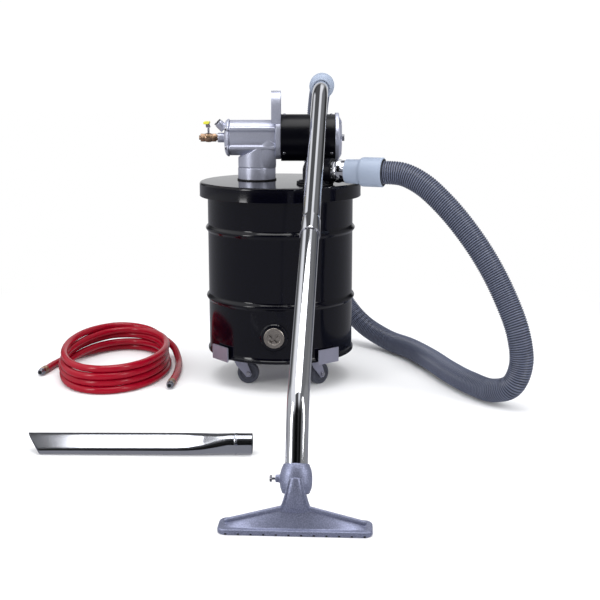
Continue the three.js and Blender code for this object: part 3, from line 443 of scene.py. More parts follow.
def copies_tree(name):
    """A tree that sets a pattern on each point, turned by the point's own angles."""
    tree = bpy.data.node_groups.new(name, "GeometryNodeTree")
    sockets = {}
    for label, kind in (("Points", "Geometry"), ("Pattern", "Object"), ("Finish", "Material")):
        sockets[label] = tree.interface.new_socket(label, in_out="INPUT",
                                                   socket_type="NodeSocket" + kind).identifier
    tree.interface.new_socket("Copies", in_out="OUTPUT", socket_type="NodeSocketGeometry")
    given = add(tree, "NodeGroupInput").outputs
    one = add(tree, "GeometryNodeObjectInfo", {"Object": given["Pattern"]})
    facing = add(tree, "GeometryNodeInputNamedAttribute", {"Name": "facing"},
                 data_type="FLOAT_VECTOR")
    turned = add(tree, "FunctionNodeEulerToRotation", {0: facing.outputs["Attribute"]})
    copies = add(tree, "GeometryNodeInstanceOnPoints", {
        "Points": given["Points"], "Instance": one.outputs["Geometry"],
        "Rotation": turned.outputs[0],
    })
    real = add(tree, "GeometryNodeRealizeInstances", {0: copies.outputs[0]})
    finished = add(tree, "GeometryNodeSetMaterial", {"Geometry": real.outputs[0],
                                                     "Material": given["Finish"]})
    add(tree, "NodeGroupOutput", {0: finished.outputs[0]})
    return tree, sockets


def repeat(name, pattern, places, matrix, material, body):
    """Copies of one pattern mesh on points with their own turns, by Geometry Nodes."""
    seed = put(name + "_pattern", pattern, Matrix.Scale(0.001, 4), material, None)
    spots = [matrix @ place for place in places]
    mesh = bpy.data.meshes.new(name)
    mesh.from_pydata([spot.to_translation() for spot in spots], [], [])
    facing = mesh.attributes.new("facing", "FLOAT_VECTOR", "POINT")
    for i, spot in enumerate(spots):
        facing.data[i].vector = spot.to_euler()
    mesh.materials.append(material)
    piece = bpy.data.objects.new(name, mesh)
    bpy.context.scene.collection.objects.link(piece)
    tree, sockets = copies_tree(name)
    copies = piece.modifiers.new("copies", "NODES")
    copies.node_group = tree
    copies[sockets["Pattern"]] = seed
    copies[sockets["Finish"]] = material
    bake(piece)
    bpy.data.objects.remove(seed)
    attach(piece, body)
    return piece


def smooth_path(points, per_span=12):
    """The centripetal Catmull-Rom curve through the points."""
    pts = [np.asarray(p, dtype=float) for p in points]
    pts = [2 * pts[0] - pts[1]] + pts + [2 * pts[-1] - pts[-2]]
    out = []
    for i in range(1, len(pts) - 2):
        p0, p1, p2, p3 = pts[i - 1:i + 3]
        t0 = 0.0
        t1 = t0 + max(np.linalg.norm(p1 - p0) ** 0.5, 1e-4)
        t2 = t1 + max(np.linalg.norm(p2 - p1) ** 0.5, 1e-4)
        t3 = t2 + max(np.linalg.norm(p3 - p2) ** 0.5, 1e-4)
        for k in range(per_span):
            t = t1 + (t2 - t1) * k / per_span
            a1 = (t1 - t) / (t1 - t0) * p0 + (t - t0) / (t1 - t0) * p1
            a2 = (t2 - t) / (t2 - t1) * p1 + (t - t1) / (t2 - t1) * p2
            a3 = (t3 - t) / (t3 - t2) * p2 + (t - t2) / (t3 - t2) * p3
            b1 = (t2 - t) / (t2 - t0) * a1 + (t - t0) / (t2 - t0) * a2
            b2 = (t3 - t) / (t3 - t1) * a2 + (t - t1) / (t3 - t1) * a3
            out.append((t2 - t) / (t2 - t1) * b1 + (t - t1) / (t2 - t1) * b2)
    out.append(pts[-2])
    return np.array(out)


def evenly(path, step):
    """The same path with points an equal step apart, and its length."""
    gaps = np.linalg.norm(np.diff(path, axis=0), axis=1)
    reach = np.concatenate([[0], np.cumsum(gaps)])
    count = max(2, int(round(reach[-1] / step)) + 1)
    where = np.linspace(0, reach[-1], count)
    return np.stack([np.interp(where, reach, path[:, i]) for i in range(3)], axis=1), reach[-1]


# ---------------------------------------------------------------- camera

CAMERA_PLACE = Vector((63.5, -3570, 990))
CAMERA_DOWN = 11.69             # degrees below level
camera_data = bpy.data.cameras.new("camera")
camera_data.lens = 66.54
camera_data.sensor_width = 36
camera_data.clip_end = 60
camera = bpy.data.objects.new("camera", camera_data)
camera.location = KIT @ CAMERA_PLACE
camera.rotation_euler = (math.radians(90 - CAMERA_DOWN), 0, 0)
bpy.context.scene.collection.objects.link(camera)
bpy.context.scene.camera = camera

# ---------------------------------------------------------------- suction hose

HOSE_RADIUS = 36
CUFF_BODY_RADIUS = 45
CUFF_START, CUFF_SHOULDER, CUFF_END = 102, 150, 222
CUFF_DEPTH = 22
FOOT_ANGLE, MAIN_ANGLE, TOP_ANGLE = 66, 28, 7      # how far each run rises from the floor
FOOT_LENGTH, MAIN_LENGTH, TOP_LENGTH = 170, 1408, 130
FOOT_BEND, TOP_BEND = 120, 300
JOINT_FROM_BEND = 590


def lean(angle):
    """The direction of a run of the wand that rises backwards by an angle."""
    return Vector((0, math.cos(math.radians(angle)), math.sin(math.radians(angle))))


foot_direction, main_direction, top_direction = (
    lean(angle) for angle in (FOOT_ANGLE, MAIN_ANGLE, TOP_ANGLE))
wand_foot = Vector((0, 0, 105))
foot_vertex = wand_foot + foot_direction * FOOT_LENGTH
top_vertex = foot_vertex + main_direction * MAIN_LENGTH
wand_top = top_vertex + top_direction * TOP_LENGTH

kit_from_inlet = KIT.inverted() @ INLET_FOOT
kit_from_wand = KIT.inverted() @ WAND
cuff_mouth = kit_from_inlet @ Vector((CUFF_END, 0, INLET_Z))
inlet_axis = (kit_from_inlet.to_3x3() @ Vector((1, 0, 0))).normalized()
wand_mouth = kit_from_wand @ (wand_top + top_direction * 40)
top_axis = (kit_from_wand.to_3x3() @ top_direction).normalized()
socket_steps = (0.3 - CUFF_DEPTH, -CUFF_DEPTH / 2, 2, 14)

hose_route = (
    (376, -203, 682), (432, -230, 655), (494, -262, 600), (556, -296, 527), (613, -330, 443),
    (664, -362, 345), (704, -398, 235), (716, -404, 140), (694, -390, 72), (648, -338, 42),
    (594, -240, 38), (546, -110, 38), (502, 50, 38), (448, 200, 38), (372, 325, 42),
    (285, 405, 88), (206, 440, 190), (156, 440, 320), (132, 438, 460), (118, 436, 600),
    (113, 436, 710),
)
hose_top = ((-16, 190, -152), (-11, 170, -80), (-5, 132, -26), (0, 84, 1))
hose_points = [cuff_mouth + inlet_axis * s for s in socket_steps]
hose_points += [Vector(p) for p in hose_route]
hose_points += [wand_mouth + Vector(p) for p in hose_top]
hose_points += [wand_mouth + top_axis * s for s in reversed(socket_steps)]

HOSE_PITCH = 7.0
RIB_STEPS = 6
HOSE_SIDES = 40
hose_path, hose_length = evenly(smooth_path(hose_points), HOSE_PITCH / RIB_STEPS)
distance = np.linspace(0, hose_length, len(hose_path))
helix = np.arange(HOSE_SIDES) / HOSE_SIDES
wave = np.cos(2 * np.pi * (distance[:, None] / HOSE_PITCH - helix[None, :]))
hose_radii = HOSE_RADIUS - 3.4 + 3.4 * (0.5 + 0.5 * wave) ** 0.7
vacuum_hose = put("corrugated_hose", tube(hose_path, hose_radii, HOSE_SIDES), KIT, hose_vinyl,
                  "lid", ["vacuum_hose"], sharp=180)
# The rib share sets the painted groove shade: full shade in the grooves, none on the crests.
rib = vacuum_hose.data.attributes.new("rib", "FLOAT", "POINT")
rib.data.foreach_set("value", ((0.5 + 0.5 * wave) ** 0.9).ravel().astype(np.float32))

# ---------------------------------------------------------------- air hose

AIR_RADIUS = 11.5
COIL_WIDTH, COIL_LENGTH = 187, 297


def oval(turns, inset):
    """A point of the oval, clockwise from the middle of its left side."""
    angle = math.pi - 2 * math.pi * turns
    return (COIL_WIDTH - inset) * math.cos(angle), (COIL_LENGTH - inset) * math.sin(angle)


# Turns of the coil so far, how far inside the outer edge, and the height, of the hose's middle.
coil_plan = (
    (0.10, 15, 12), (0.3, 13, 12), (0.55, 13, 12), (0.85, 14, 12), (1.00, 22, 24),
    (1.12, 33, 33), (1.35, 21, 35), (1.6, 17, 35), (1.85, 20, 34), (2.05, 13, 46),
    (2.2, 15, 57), (2.4, 24, 58), (2.65, 15, 58), (2.85, 14, 57), (3.05, 29, 66), (3.2, 30, 77),
    (3.4, 20, 80), (3.65, 13, 81), (3.85, 24, 79), (4.0, 26, 88), (4.12, 19, 92), (4.24, 14, 92),
    (4.33, 8, 80), (4.385, 0, 62),
)
plan = np.array(coil_plan)
coil_path = []
for turns in np.linspace(plan[0][0], plan[-1][0], 150):
    inset = np.interp(turns, plan[:, 0], plan[:, 1])
    height = np.interp(turns, plan[:, 0], plan[:, 2])
    x, y = oval(turns, inset)
    coil_path.append((x, y, height))
floor_z = AIR_RADIUS + 0.3
left_tail = [(-229, -33, floor_z), (-219, 22, floor_z), (-203, 80, floor_z), (-178, 138, floor_z)]
right_tail = [(176, 162, 42), (196, 110, 22), (207, 50, floor_z + 1), (212, -20, floor_z),
              (213, -100, floor_z), (209, -187, floor_z)]
air_path, air_length = evenly(smooth_path(left_tail + coil_path[3::2] + right_tail, 6), 8)
air_hose = put("air_hose", tube(air_path, AIR_RADIUS, 28), COIL, red_vinyl, "air_hose",
               ["air_hose_coil", "air_hose_end_left", "air_hose_end_right"],
               sharp=180)
fitting_pieces = []
for name, over, end in (("left", (-219, 19), (-229, -33)), ("right", (216, -35), (209, -187))):
    heading = math.degrees(math.atan2(end[1] - over[1], end[0] - over[0]))
    place = COIL @ shift(end[0], end[1], 13.3) @ turn(heading - 90) @ turn(-90, "X")
    ferrule = lathe([(5.5, -2), (12.6, -2), (12.6, 5), (12, 6), (12.6, 7), (12.6, 12), (12, 13),
                     (12.6, 14), (12.6, 20), (9, 21), (5.5, 21)], 64, 0.6)
    swivel = joined(hexagon(21.6, 21, 31), ring(5.6, 11.5, 30, 34, 48), ring(5.6, 9, 33, 45.5, 48))
    crimp = put(f"ferrule_{name}", ferrule, place, brass, "air_hose")
    nut = put(f"swivel_nut_{name}", swivel, place, steel, "air_hose",
              [f"air_fitting_{name}"], bevel=0.6)
    # Painted shadow: a black disc just inside the swivel nut's bore stands for the shade in it.
    bore_shadow = put(f"fitting_bore_{name}", bar(5.7, 44, 45.2, 32, 0), place, shadow, "air_hose")
    fitting_pieces += [crimp, nut, bore_shadow]

# ---------------------------------------------------------------- drum and drain

DRUM_RADIUS = 233.5
CHIME_RADIUS = 238
LOW_HOOP, HIGH_HOOP = 180, 402     # above the drum's foot


def hoop(height, rise=7.5, half=13, steps=14):
    """The outline of a rolling hoop."""
    out = []
    for k in range(steps + 1):
        t = 2 * k / steps - 1
        bulge = (0.5 + 0.5 * math.cos(math.pi * t)) ** 0.85
        out.append((DRUM_RADIUS + rise * bulge, height + half * t))
    return out


inner = DRUM_RADIUS - 2.5
drum_profile = [
    (0, DRUM_FOOT + 8.5), (229, DRUM_FOOT + 8.5), (232, DRUM_FOOT + 1), (235, DRUM_FOOT),
    (CHIME_RADIUS, DRUM_FOOT + 2.5), (CHIME_RADIUS, DRUM_FOOT + 9), (235, DRUM_FOOT + 12),
    (DRUM_RADIUS, DRUM_FOOT + 18), *hoop(DRUM_FOOT + LOW_HOOP), *hoop(DRUM_FOOT + HIGH_HOOP),
    (DRUM_RADIUS, DRUM_TOP - 14), (235, DRUM_TOP - 10), (CHIME_RADIUS, DRUM_TOP - 7),
    (CHIME_RADIUS, DRUM_TOP - 2), (235, DRUM_TOP), (232, DRUM_TOP - 1), (inner, DRUM_TOP - 6),
    (inner, DRUM_FOOT + 15), (inner - 4, DRUM_FOOT + 11), (0, DRUM_FOOT + 11),
]
put("drum", lathe(drum_profile, 192, 1.6), KIT, enamel, "drum", ["drum_shell"],
    sharp=60)

drain_out = DRUM_RADIUS + 0.3
boss = lathe([(27, 209.5), (30, 209.5), (30, 229), (44, 229), (44, drain_out + 2.5),
              (40, drain_out + 7), (34, drain_out + 8), (27, drain_out + 8)], 96, 1.5)
put("drain_boss", boss, DRAIN, enamel, "drum", ["drain_flange"])
plug_face = drain_out + 12
plug = lathe([(0, 214), (26.6, 214), (26.6, drain_out + 8.4), (32, drain_out + 8.4),
              (32, plug_face - 1.5), (30, plug_face), (21, plug_face), (20, plug_face - 1.2),
              (0, plug_face - 1.2)], 96, 0.8)
drain_plug = put("drain_plug_turned", plug, DRAIN, nickel, "drain_plug", ["drain_plug"])
cross = DRAIN @ turn(45)
cut(drain_plug, (block(33, 10, 18, 0, 0, plug_face), cross),
    (block(10, 33, 18, 0, 0, plug_face), cross))

# ---------------------------------------------------------------- lid

LID_RADIUS = 258.5
lid_profile = [
    (0, LID_TOP - 2.5), (LID_RADIUS - 9, LID_TOP - 2.5), (LID_RADIUS - 2.5, LID_TOP - 9),
    (LID_RADIUS - 2.5, LID_SKIRT + 1), (LID_RADIUS - 1, LID_SKIRT),
    (LID_RADIUS + 0.6, LID_SKIRT + 1.4),
    (LID_RADIUS, LID_SKIRT + 5), (LID_RADIUS, LID_TOP - 7), (LID_RADIUS - 2, LID_TOP - 2),
    (LID_RADIUS - 7, LID_TOP), (0, LID_TOP),
]
lid = put("drum_lid", lathe(lid_profile, 192, 2.0), KIT, enamel, "lid", ["lid"],
          sharp=60)
cut(lid, (bar(52.5, LID_TOP - 20, LID_TOP + 20, 96, 0), HEAD_FOOT),
    (bar(34, LID_TOP - 20, LID_TOP + 20, 96, 0), INLET_FOOT))
put("neck_seal", ring(52.5, 63.2, LID_TOP + 0.3, LID_TOP + 4, 96), HEAD_FOOT, rubber, "lid",
    ["neck_gasket"])
seal_low = DRUM_TOP + 0.3
put("drum_seal", ring(226, 240, seal_low, seal_low + 4, 160), KIT, foam, "lid",
    ["lid_gasket"])

# ---------------------------------------------------------------- venturi head

BODY_RADIUS = 59.5
NECK_RADIUS = 60.5
BOSS_CIRCLE = 57.5
BARREL_RADIUS = 56.5
FLANGE_FACE = 62
BODY_FACE = FLANGE_FACE - 0.3
BODY_END = BODY_FACE - 148
NOSE_FACE = BODY_END - 0.3 - 15
neck_foot = LID_TOP + 4.3
collar_top = neck_foot + 36
BOLT_ANGLES = (31, 149, 211, 329)


def around_head(angle, radius):
    """Where an angle round the head lies in the head's own frame, from the rear towards the top."""
    return -radius * math.sin(math.radians(angle)), radius * math.cos(math.radians(angle))


def bosses(radius, low, high):
    """A round boss at each bolt of the head."""
    out = []
    for angle in BOLT_ANGLES:
        x, y = around_head(angle, BOSS_CIRCLE)
        out.append(moved(bar(radius, low, high, 40, 2.5), shift(x, y)))
    return out


head_from_foot = HEAD.inverted() @ HEAD_FOOT
PEAK_X, PEAK_DROP = 41, 15      # the roof's peak, from the neck's axis and the head's axis
LEFT_PITCH, RIGHT_PITCH = 25, 60
THROAT_LEAN = 29
upper = joined(
    bar(BARREL_RADIUS, BODY_END + 0.8, BODY_FACE - 0.8, 128, 1.5),
    *bosses(9.5, BODY_END + 0.8, BODY_FACE - 0.8),
)


def roof(x):
    """The height where the neck ends against the barrel."""
    pitch = LEFT_PITCH if x < PEAK_X else RIGHT_PITCH
    return HEAD_Z - PEAK_DROP - abs(x - PEAK_X) * math.tan(math.radians(pitch))


def neck_rows(radius, sides=160):
    """The neck's wall from its collar up to the roof, then across it."""
    corners_round = [(math.cos(2 * math.pi * k / sides), math.sin(2 * math.pi * k / sides))
                     for k in range(sides)]
    rows = [[(radius * c, radius * s, collar_top + 1.6) for c, s in corners_round]]
    for share in (1, 0.8, 0.6, 0.4, 0.2):
        rows.append([(radius * share * c, radius * share * s, roof(radius * share * c))
                     for c, s in corners_round])
    return rows


neck_pipe = moved(grid(neck_rows(NECK_RADIUS - 0.8)), head_from_foot)
leaning = head_from_foot @ shift(z=collar_top) @ turn(THROAT_LEAN, "Y")
throat = moved(bar(NECK_RADIUS - 3, 10, 98, 128, 2), leaning)
head_casting = cast("head", [upper, neck_pipe, throat], HEAD, casting, "lid", ["head_casting"],
                    grain=1.1, soften=8)
cut(head_casting,
    (block(300, 300, 60, 0, 0, collar_top - 29.2), HEAD_FOOT),
    (block(200, 200, 120, 0, 0, BODY_FACE + 60), HEAD))
head_casting.data.set_sharp_from_angle(angle=math.radians(60))
collar = lathe([(52.5, neck_foot), (NECK_RADIUS, neck_foot), (NECK_RADIUS, collar_top - 1),
                (NECK_RADIUS - 1.5, collar_top - 0.6), (NECK_RADIUS - 1.5, collar_top + 1.2),
                (52.5, collar_top + 1.2)], 160, 0.7)
put("neck_collar", collar, HEAD_FOOT, casting, "lid")

cap_face = BODY_END - 0.3
nose = [
    lathe([(0, NOSE_FACE), (BODY_RADIUS - 15, NOSE_FACE), (BODY_RADIUS - 5, NOSE_FACE + 3.5),
           (BODY_RADIUS + 0.6, NOSE_FACE + 10), (BODY_RADIUS + 0.6, cap_face), (0, cap_face)],
          128, 3),
    bar(15.5, NOSE_FACE - 23, NOSE_FACE + 4, 64, 1.5), *bosses(9.5, NOSE_FACE + 8, cap_face),
]
PORT = KIT @ shift(HEAD_X, HEAD_Y, HEAD_Z) @ shift(NOSE_FACE + 20, 0, 6) @ turn(-45, "Y")
nose.append(moved(bar(14, 30, 57.5, 64, 1.5), HEAD.inverted() @ PORT))
cast("nose_cover", nose, HEAD, casting, "lid", ["nose_cap"], grain=1.3, soften=6)
port_plug = joined(bar(8.6, 50, 60), hexagon(22, 58.2, 64))
put("port_plug_hex", port_plug, PORT, steel, "lid", ["port_plug"], bevel=0.8)
put("stub_bore", ring(9, 15, NOSE_FACE - 23.3, NOSE_FACE - 22.4, 48), HEAD, steel, "lid")

# Socket-head screws in the ears of the nose cap.
screw = joined(
    lathe([(2.4, 2.2), (2.4, 5.4), (4.6, 5.4), (5, 4.6), (5, 0), (0, 0), (0, 2.2)], 32, 0.4),
    lathe([(0, 0), (7, 0), (7, 1.2), (0, 1.2)], 32, 0.3),
)
nose_places = []
for angle in BOLT_ANGLES:
    x, y = around_head(angle, BOSS_CIRCLE)
    nose_places.append(shift(x, y, NOSE_FACE + 7.6) @ turn(180, "X"))
repeat("nose_screws", screw, nose_places, HEAD, steel, "lid")


def lobed(radius, lobes, dip, low, high, phase=0.0, steps=160):
    """A plate whose rim dips between its lobes."""
    out = []
    for k in range(steps):
        angle = 2 * math.pi * k / steps
        r = radius - dip / 2 * (1 - math.cos(lobes * (angle - phase - math.pi / lobes)))
        out.append((r * math.cos(angle), r * math.sin(angle)))
    return prism(out, low, high)


FLANGE_END = FLANGE_FACE + 16.5
put("muffler_flange", lobed(74.4, 4, 6, FLANGE_FACE, FLANGE_END), HEAD, casting, "lid",
    ["rear_flange"], bevel=2.2)

# ---------------------------------------------------------------- muffler

MUFFLER_RADIUS, MUFFLER_BORE = 74.5, 71.5
MUFFLER_START = FLANGE_END + 0.3
MUFFLER_END = MUFFLER_START + 172
CAP_START = MUFFLER_END + 0.3
shell = ring(MUFFLER_BORE, MUFFLER_RADIUS, MUFFLER_START, MUFFLER_END, 160, 1.0)
put("muffler_can", shell, HEAD, powder, "lid", ["muffler_shell"])
put("end_cap_rim", lobed(79.4, 4, 6, CAP_START, CAP_START + 13, math.radians(45)), HEAD, casting,
    "lid", ["muffler_end_cap"], bevel=3.2)
crown = lathe([(0, CAP_START + 11), (69, CAP_START + 11), (67, CAP_START + 14),
               (54, CAP_START + 21.5), (0, CAP_START + 21.9)], 128, 3)
crown_piece = put("end_cap_crown", crown, HEAD, casting, "lid")
vents = []
for k in range(6):
    angle = math.radians(30 + 60 * k)
    vents.append((bar(8.5, CAP_START + 5, CAP_START + 40, 40, 0),
                  HEAD @ shift(56 * math.cos(angle), 56 * math.sin(angle))))
cut(crown_piece, *vents)
bolt = joined(bar(9.5, CAP_START + 22, CAP_START + 23.4, 48, 0.4),
              hexagon(18.6, CAP_START + 23.2, CAP_START + 31))
put("end_bolt_hex", bolt, HEAD, steel, "lid", ["end_cap_bolt"], bevel=0.8)
dome = lathe([(0, 0), (5.2, 0), (5.2, 0.8), (4.4, 2.6), (2.2, 3.6), (0, 3.8)], 32, 0.5)
can_places = []
for height in (MUFFLER_START + 11, MUFFLER_END - 11):
    for angle in (-38, 82, 202):
        side = math.radians(angle)
        out = Vector((-math.sin(side), -math.cos(side), 0))
        facing = Z.rotation_difference(out).to_matrix().to_4x4()
        spot = out * (MUFFLER_RADIUS - 0.3) + Vector((0, 0, height))
        can_places.append(Matrix.Translation(spot) @ facing)
repeat("muffler_screws", dome, can_places, HEAD, steel, "lid")

# ---------------------------------------------------------------- lifting handle

handle_top = corners("lifting_handle")[1].z * 1000
HANDLE = KIT @ shift(HEAD_X + 48.4, HEAD_Y, 0) @ turn(90) @ turn(90, "X")
half = 58.8
outer = [(-half, HEAD_Z + 48), (-half, handle_top - 44), (-half + 6, handle_top - 26),
         (-half + 16, handle_top - 10), (-half + 30, handle_top - 1), (-half + 40, handle_top),
         (half - 40, handle_top), (half - 30, handle_top - 1), (half - 16, handle_top - 10),
         (half - 6, handle_top - 26), (half, handle_top - 44), (half, HEAD_Z + 48)]
handle = put("handle_loop", prism(outer, 0, 29.6), HANDLE, casting, "lid", ["lifting_handle"])
grip = [(-39, HEAD_Z), (-39, handle_top - 46), (-25, handle_top - 24), (25, handle_top - 24),
        (39, handle_top - 46), (39, HEAD_Z)]
cut(handle, (prism(grip, -20, 60), HANDLE),
    (bar(75.6, -200, 300, 128, 0), HEAD),
    (block(4.4, 26, 14, 0, handle_top - 72, 8), HANDLE @ turn(90, "Y") @ shift(x=-8, z=half - 8)),
    (bar(6.2, 0, 20, 6, 0), HANDLE @ turn(90, "Y") @ shift(-8, handle_top - 38, half - 8)))
rounding = handle.modifiers.new("rounding", "BEVEL")
rounding.width = 0.0042
rounding.segments = 4
rounding.limit_method = "ANGLE"
rounding.angle_limit = math.radians(35)
rounding.use_clamp_overlap = True
bake(handle)

# ---------------------------------------------------------------- ball valve

VALVE_END = NOSE_FACE - 23 - 5
VALVE_START = VALVE_END - 50
VALVE_MIDDLE = VALVE_START + 25
put("nipple", ring(4.5, 9, VALVE_END + 0.3, NOSE_FACE - 23.3, 48), HEAD, brass, "lid",
    ["valve_nipple"])
valve = joined(
    hexagon(25, VALVE_START, VALVE_START + 13, 30), hexagon(25, VALVE_END - 13, VALVE_END, 30),
    lathe([(7.2, VALVE_START + 4), (12, VALVE_START + 5), (12.4, VALVE_START + 14),
           (14.2, VALVE_START + 18), (14.6, VALVE_MIDDLE), (14.2, VALVE_END - 18),
           (12.4, VALVE_END - 14), (12, VALVE_END - 5), (7.2, VALVE_END - 4)], 64, 1),
    moved(lathe([(3.8, 8), (7.4, 8), (7, 16), (6.4, 20.8), (3.8, 20.8)], 40, 0.6),
          HEAD.inverted() @ KIT @ shift(HEAD_X + VALVE_MIDDLE, HEAD_Y, HEAD_Z)),
)
valve_body = put("valve_casting", valve, HEAD, brass, "lid", ["valve_body"], bevel=0.7)
cut(valve_body, (bar(7.2, VALVE_START - 5, VALVE_START + 12, 40, 0), HEAD))
VALVE = KIT @ shift(HEAD_X + VALVE_MIDDLE, HEAD_Y, HEAD_Z)
stem = joined(bar(3.4, 11, 40, 32), hexagon(9.5, 36.4, 40.6))
put("stem_and_nut", stem, VALVE, steel, "valve_handle", ["valve_stem"], bevel=0.4)
lever_line = [(12, 33), (12, 35.8), (-17, 35.8), (-20, 36.6), (-33, 50.6), (-36, 52), (-92, 52),
              (-92, 49), (-35, 49), (-32, 47.8), (-19.5, 33.8), (-17, 33)]
LEVER = VALVE @ turn(90) @ turn(90, "X")
put("lever_strip", prism(lever_line, -6.4, 6.4), LEVER, zinc, "valve_handle", ["valve_lever"],
    bevel=0.7)
grip_shape = block(17.6, 59.6, 7.8, 0, -64, 50.5)
put("lever_sleeve", grip_shape, VALVE, grip_vinyl, "valve_handle", ["lever_grip"], bevel=2.4)

# ---------------------------------------------------------------- filter

bag_top = LID_TOP - 2.5 - 8.6
bag = [(71.5, bag_top), (76.5, bag_top)]
bag += [(76.5 + 3.4 * math.sin(math.pi * min(1, k / 9)) * 1.2 + 1.2 * math.sin(k * 1.7),
         bag_top - 280 * k / 12) for k in range(1, 12)]
bag += [(66, bag_top - 282), (44, bag_top - 298), (0, bag_top - 299), (0, bag_top - 296),
        (44, bag_top - 295), (64, bag_top - 280), (72, bag_top - 200)]
put("filter_sleeve", lathe(bag, 96, 3), HEAD_FOOT, felt, "lid", ["filter_bag"],
    sharp=180)
put("filter_band", ring(56.5, 80.3, bag_top + 0.3, bag_top + 8, 96), HEAD_FOOT, steel, "lid",
    ["filter_ring"])

# ---------------------------------------------------------------- inlet

flange_base = LID_TOP + 2.9
put("inlet_seal", ring(34.2, 57.6, LID_TOP + 0.3, flange_base - 0.3, 96), INLET_FOOT, rubber,
    "lid", ["inlet_gasket"])
knee = joined(
    lathe([(0, flange_base), (57.6, flange_base), (57.6, flange_base + 5.4), (55, flange_base + 7),
           (44, flange_base + 7), (40, flange_base + 10), (0, flange_base + 10)], 96, 1),
    bar(38.6, flange_base + 3, INLET_Z, 96, 0),
)
sphere_rows = [(38.6 * math.cos(math.radians(a)), INLET_Z + 38.6 * math.sin(math.radians(a)))
               for a in range(-88, 90, 8)]
knee = joined(knee, lathe([(0, INLET_Z - 38.6), *sphere_rows, (0, INLET_Z + 38.6)], 96, 0),
              moved(bar(38.8, 0, 61.5, 96, 1.5), shift(z=INLET_Z) @ ALONG_X))
cast("elbow", [knee], INLET_FOOT, powder, "lid", ["inlet_elbow"], grain=1.6, soften=8)
flange_places = [shift(48.5 * math.cos(math.radians(a)), 48.5 * math.sin(math.radians(a)),
                       flange_base + 6.8) for a in (45, 135, 225, 315)]
repeat("inlet_bolts", joined(hexagon(10, 0, 5.2), bar(6.4, -0.2, 0.9, 32, 0.2)), flange_places,
       INLET_FOOT, dark_steel, "lid")
put("chrome_stub", ring(31.9, 33.5, 44, 128, 96), INLET, chrome, "lid", ["inlet_tube"])
bead = [(33.4 + 3.2 * math.sin(math.pi * k / 12), 66 + 24 * k / 12) for k in range(13)]
put("chrome_swell", lathe([(32.5, 66), *bead, (32.5, 90)], 96, 0), INLET, chrome, "lid",
    sharp=60)

BORE = 33.8
socket_radius = HOSE_RADIUS + 1.2
cuff = lathe([
    (BORE, CUFF_START), (36.4, CUFF_START), (37, CUFF_START + 3), (37.8, CUFF_SHOULDER - 8),
    (38.2, CUFF_SHOULDER - 4), (CUFF_BODY_RADIUS - 0.8, CUFF_SHOULDER + 5),
    (CUFF_BODY_RADIUS, CUFF_SHOULDER + 12), (CUFF_BODY_RADIUS, CUFF_END - 2),
    (CUFF_BODY_RADIUS - 2, CUFF_END), (socket_radius, CUFF_END),
    (socket_radius, CUFF_END - CUFF_DEPTH), (BORE, CUFF_END - CUFF_DEPTH - 8),
], 128, 1.6)
put("inlet_cuff", cuff, INLET, cuff_vinyl, "lid", ["hose_cuff_inlet"], sharp=60)
put("inlet_cuff_seal", ring(35.6, 41, CUFF_END - 1.5, CUFF_END + 1.2, 96, 1.0), INLET, rubber,
    "lid")

# ---------------------------------------------------------------- wand

WAND_RADIUS = 25.4


def bend(vertex, before, after, turn_degrees, radius, steps=28):
    """Points along a rounded bend of the wand."""
    reach = radius * math.tan(math.radians(turn_degrees / 2))
    start, end = vertex - before * reach, vertex + after * reach
    return [(1 - t) ** 2 * start + 2 * t * (1 - t) * vertex + t * t * end
            for t in (k / steps for k in range(steps + 1))]


low_arc = bend(foot_vertex, foot_direction, main_direction, FOOT_ANGLE - MAIN_ANGLE,
               FOOT_BEND)
top_arc = bend(top_vertex, main_direction, top_direction, MAIN_ANGLE - TOP_ANGLE, TOP_BEND)
joint_point = low_arc[-1] + main_direction * JOINT_FROM_BEND
lower_path = [wand_foot + foot_direction * 4, *low_arc, joint_point + main_direction * 60]
lower_even, _ = evenly(np.array([tuple(p) for p in lower_path]), 6)
put("lower_tube", tube(lower_even, WAND_RADIUS, 96), WAND, chrome, "wand", ["wand_lower"],
    sharp=60)
upper_path = [joint_point + main_direction * 40, *top_arc, wand_top]
upper_even, _ = evenly(np.array([tuple(p) for p in upper_path]), 6)
reach = np.linspace(0, 1, len(upper_even)) * 6 * (len(upper_even) - 1) + 40
swell = WAND_RADIUS + 0.05 + 2.1 * np.clip((72 - reach) / 10, 0, 1)
socket = lathe([(WAND_RADIUS + 0.2, 0), (WAND_RADIUS + 1.4, -0.6), (WAND_RADIUS + 2.2, 0.8),
                (WAND_RADIUS + 2.2, 58), (WAND_RADIUS + 0.2, 68), (WAND_RADIUS - 0.5, 68)], 96, 0.7)
SOCKET = WAND @ Matrix.Translation(joint_point) @ turn(MAIN_ANGLE - 90, "X")
put("upper_tube", tube(upper_even, swell, 96), WAND, chrome, "wand", ["wand_upper"],
    sharp=60)
put("flared_socket", socket, SOCKET, chrome, "wand")
put("socket_lip", ring(WAND_RADIUS + 0.2, WAND_RADIUS + 2.9, -1.4, 1.6, 96, 0.9), SOCKET, steel,
    "wand")
outward = Vector((0, math.sin(math.radians(MAIN_ANGLE)), -math.cos(math.radians(MAIN_ANGLE))))
button_point = joint_point + main_direction * 22
BUTTON = (WAND @ Matrix.Translation(button_point)
          @ Z.rotation_difference(outward).to_matrix().to_4x4())
put("spring_button", lathe([(0, 20.6), (4.8, 20.6), (4.8, 28), (3.6, 29.7), (0, 30.2)], 32, 0.8),
    BUTTON, steel, "wand_button", ["wand_button"])
put("button_rim", ring(5.3, 7.4, 26.6, 27.9, 48, 0.4), BUTTON, chrome, "wand")

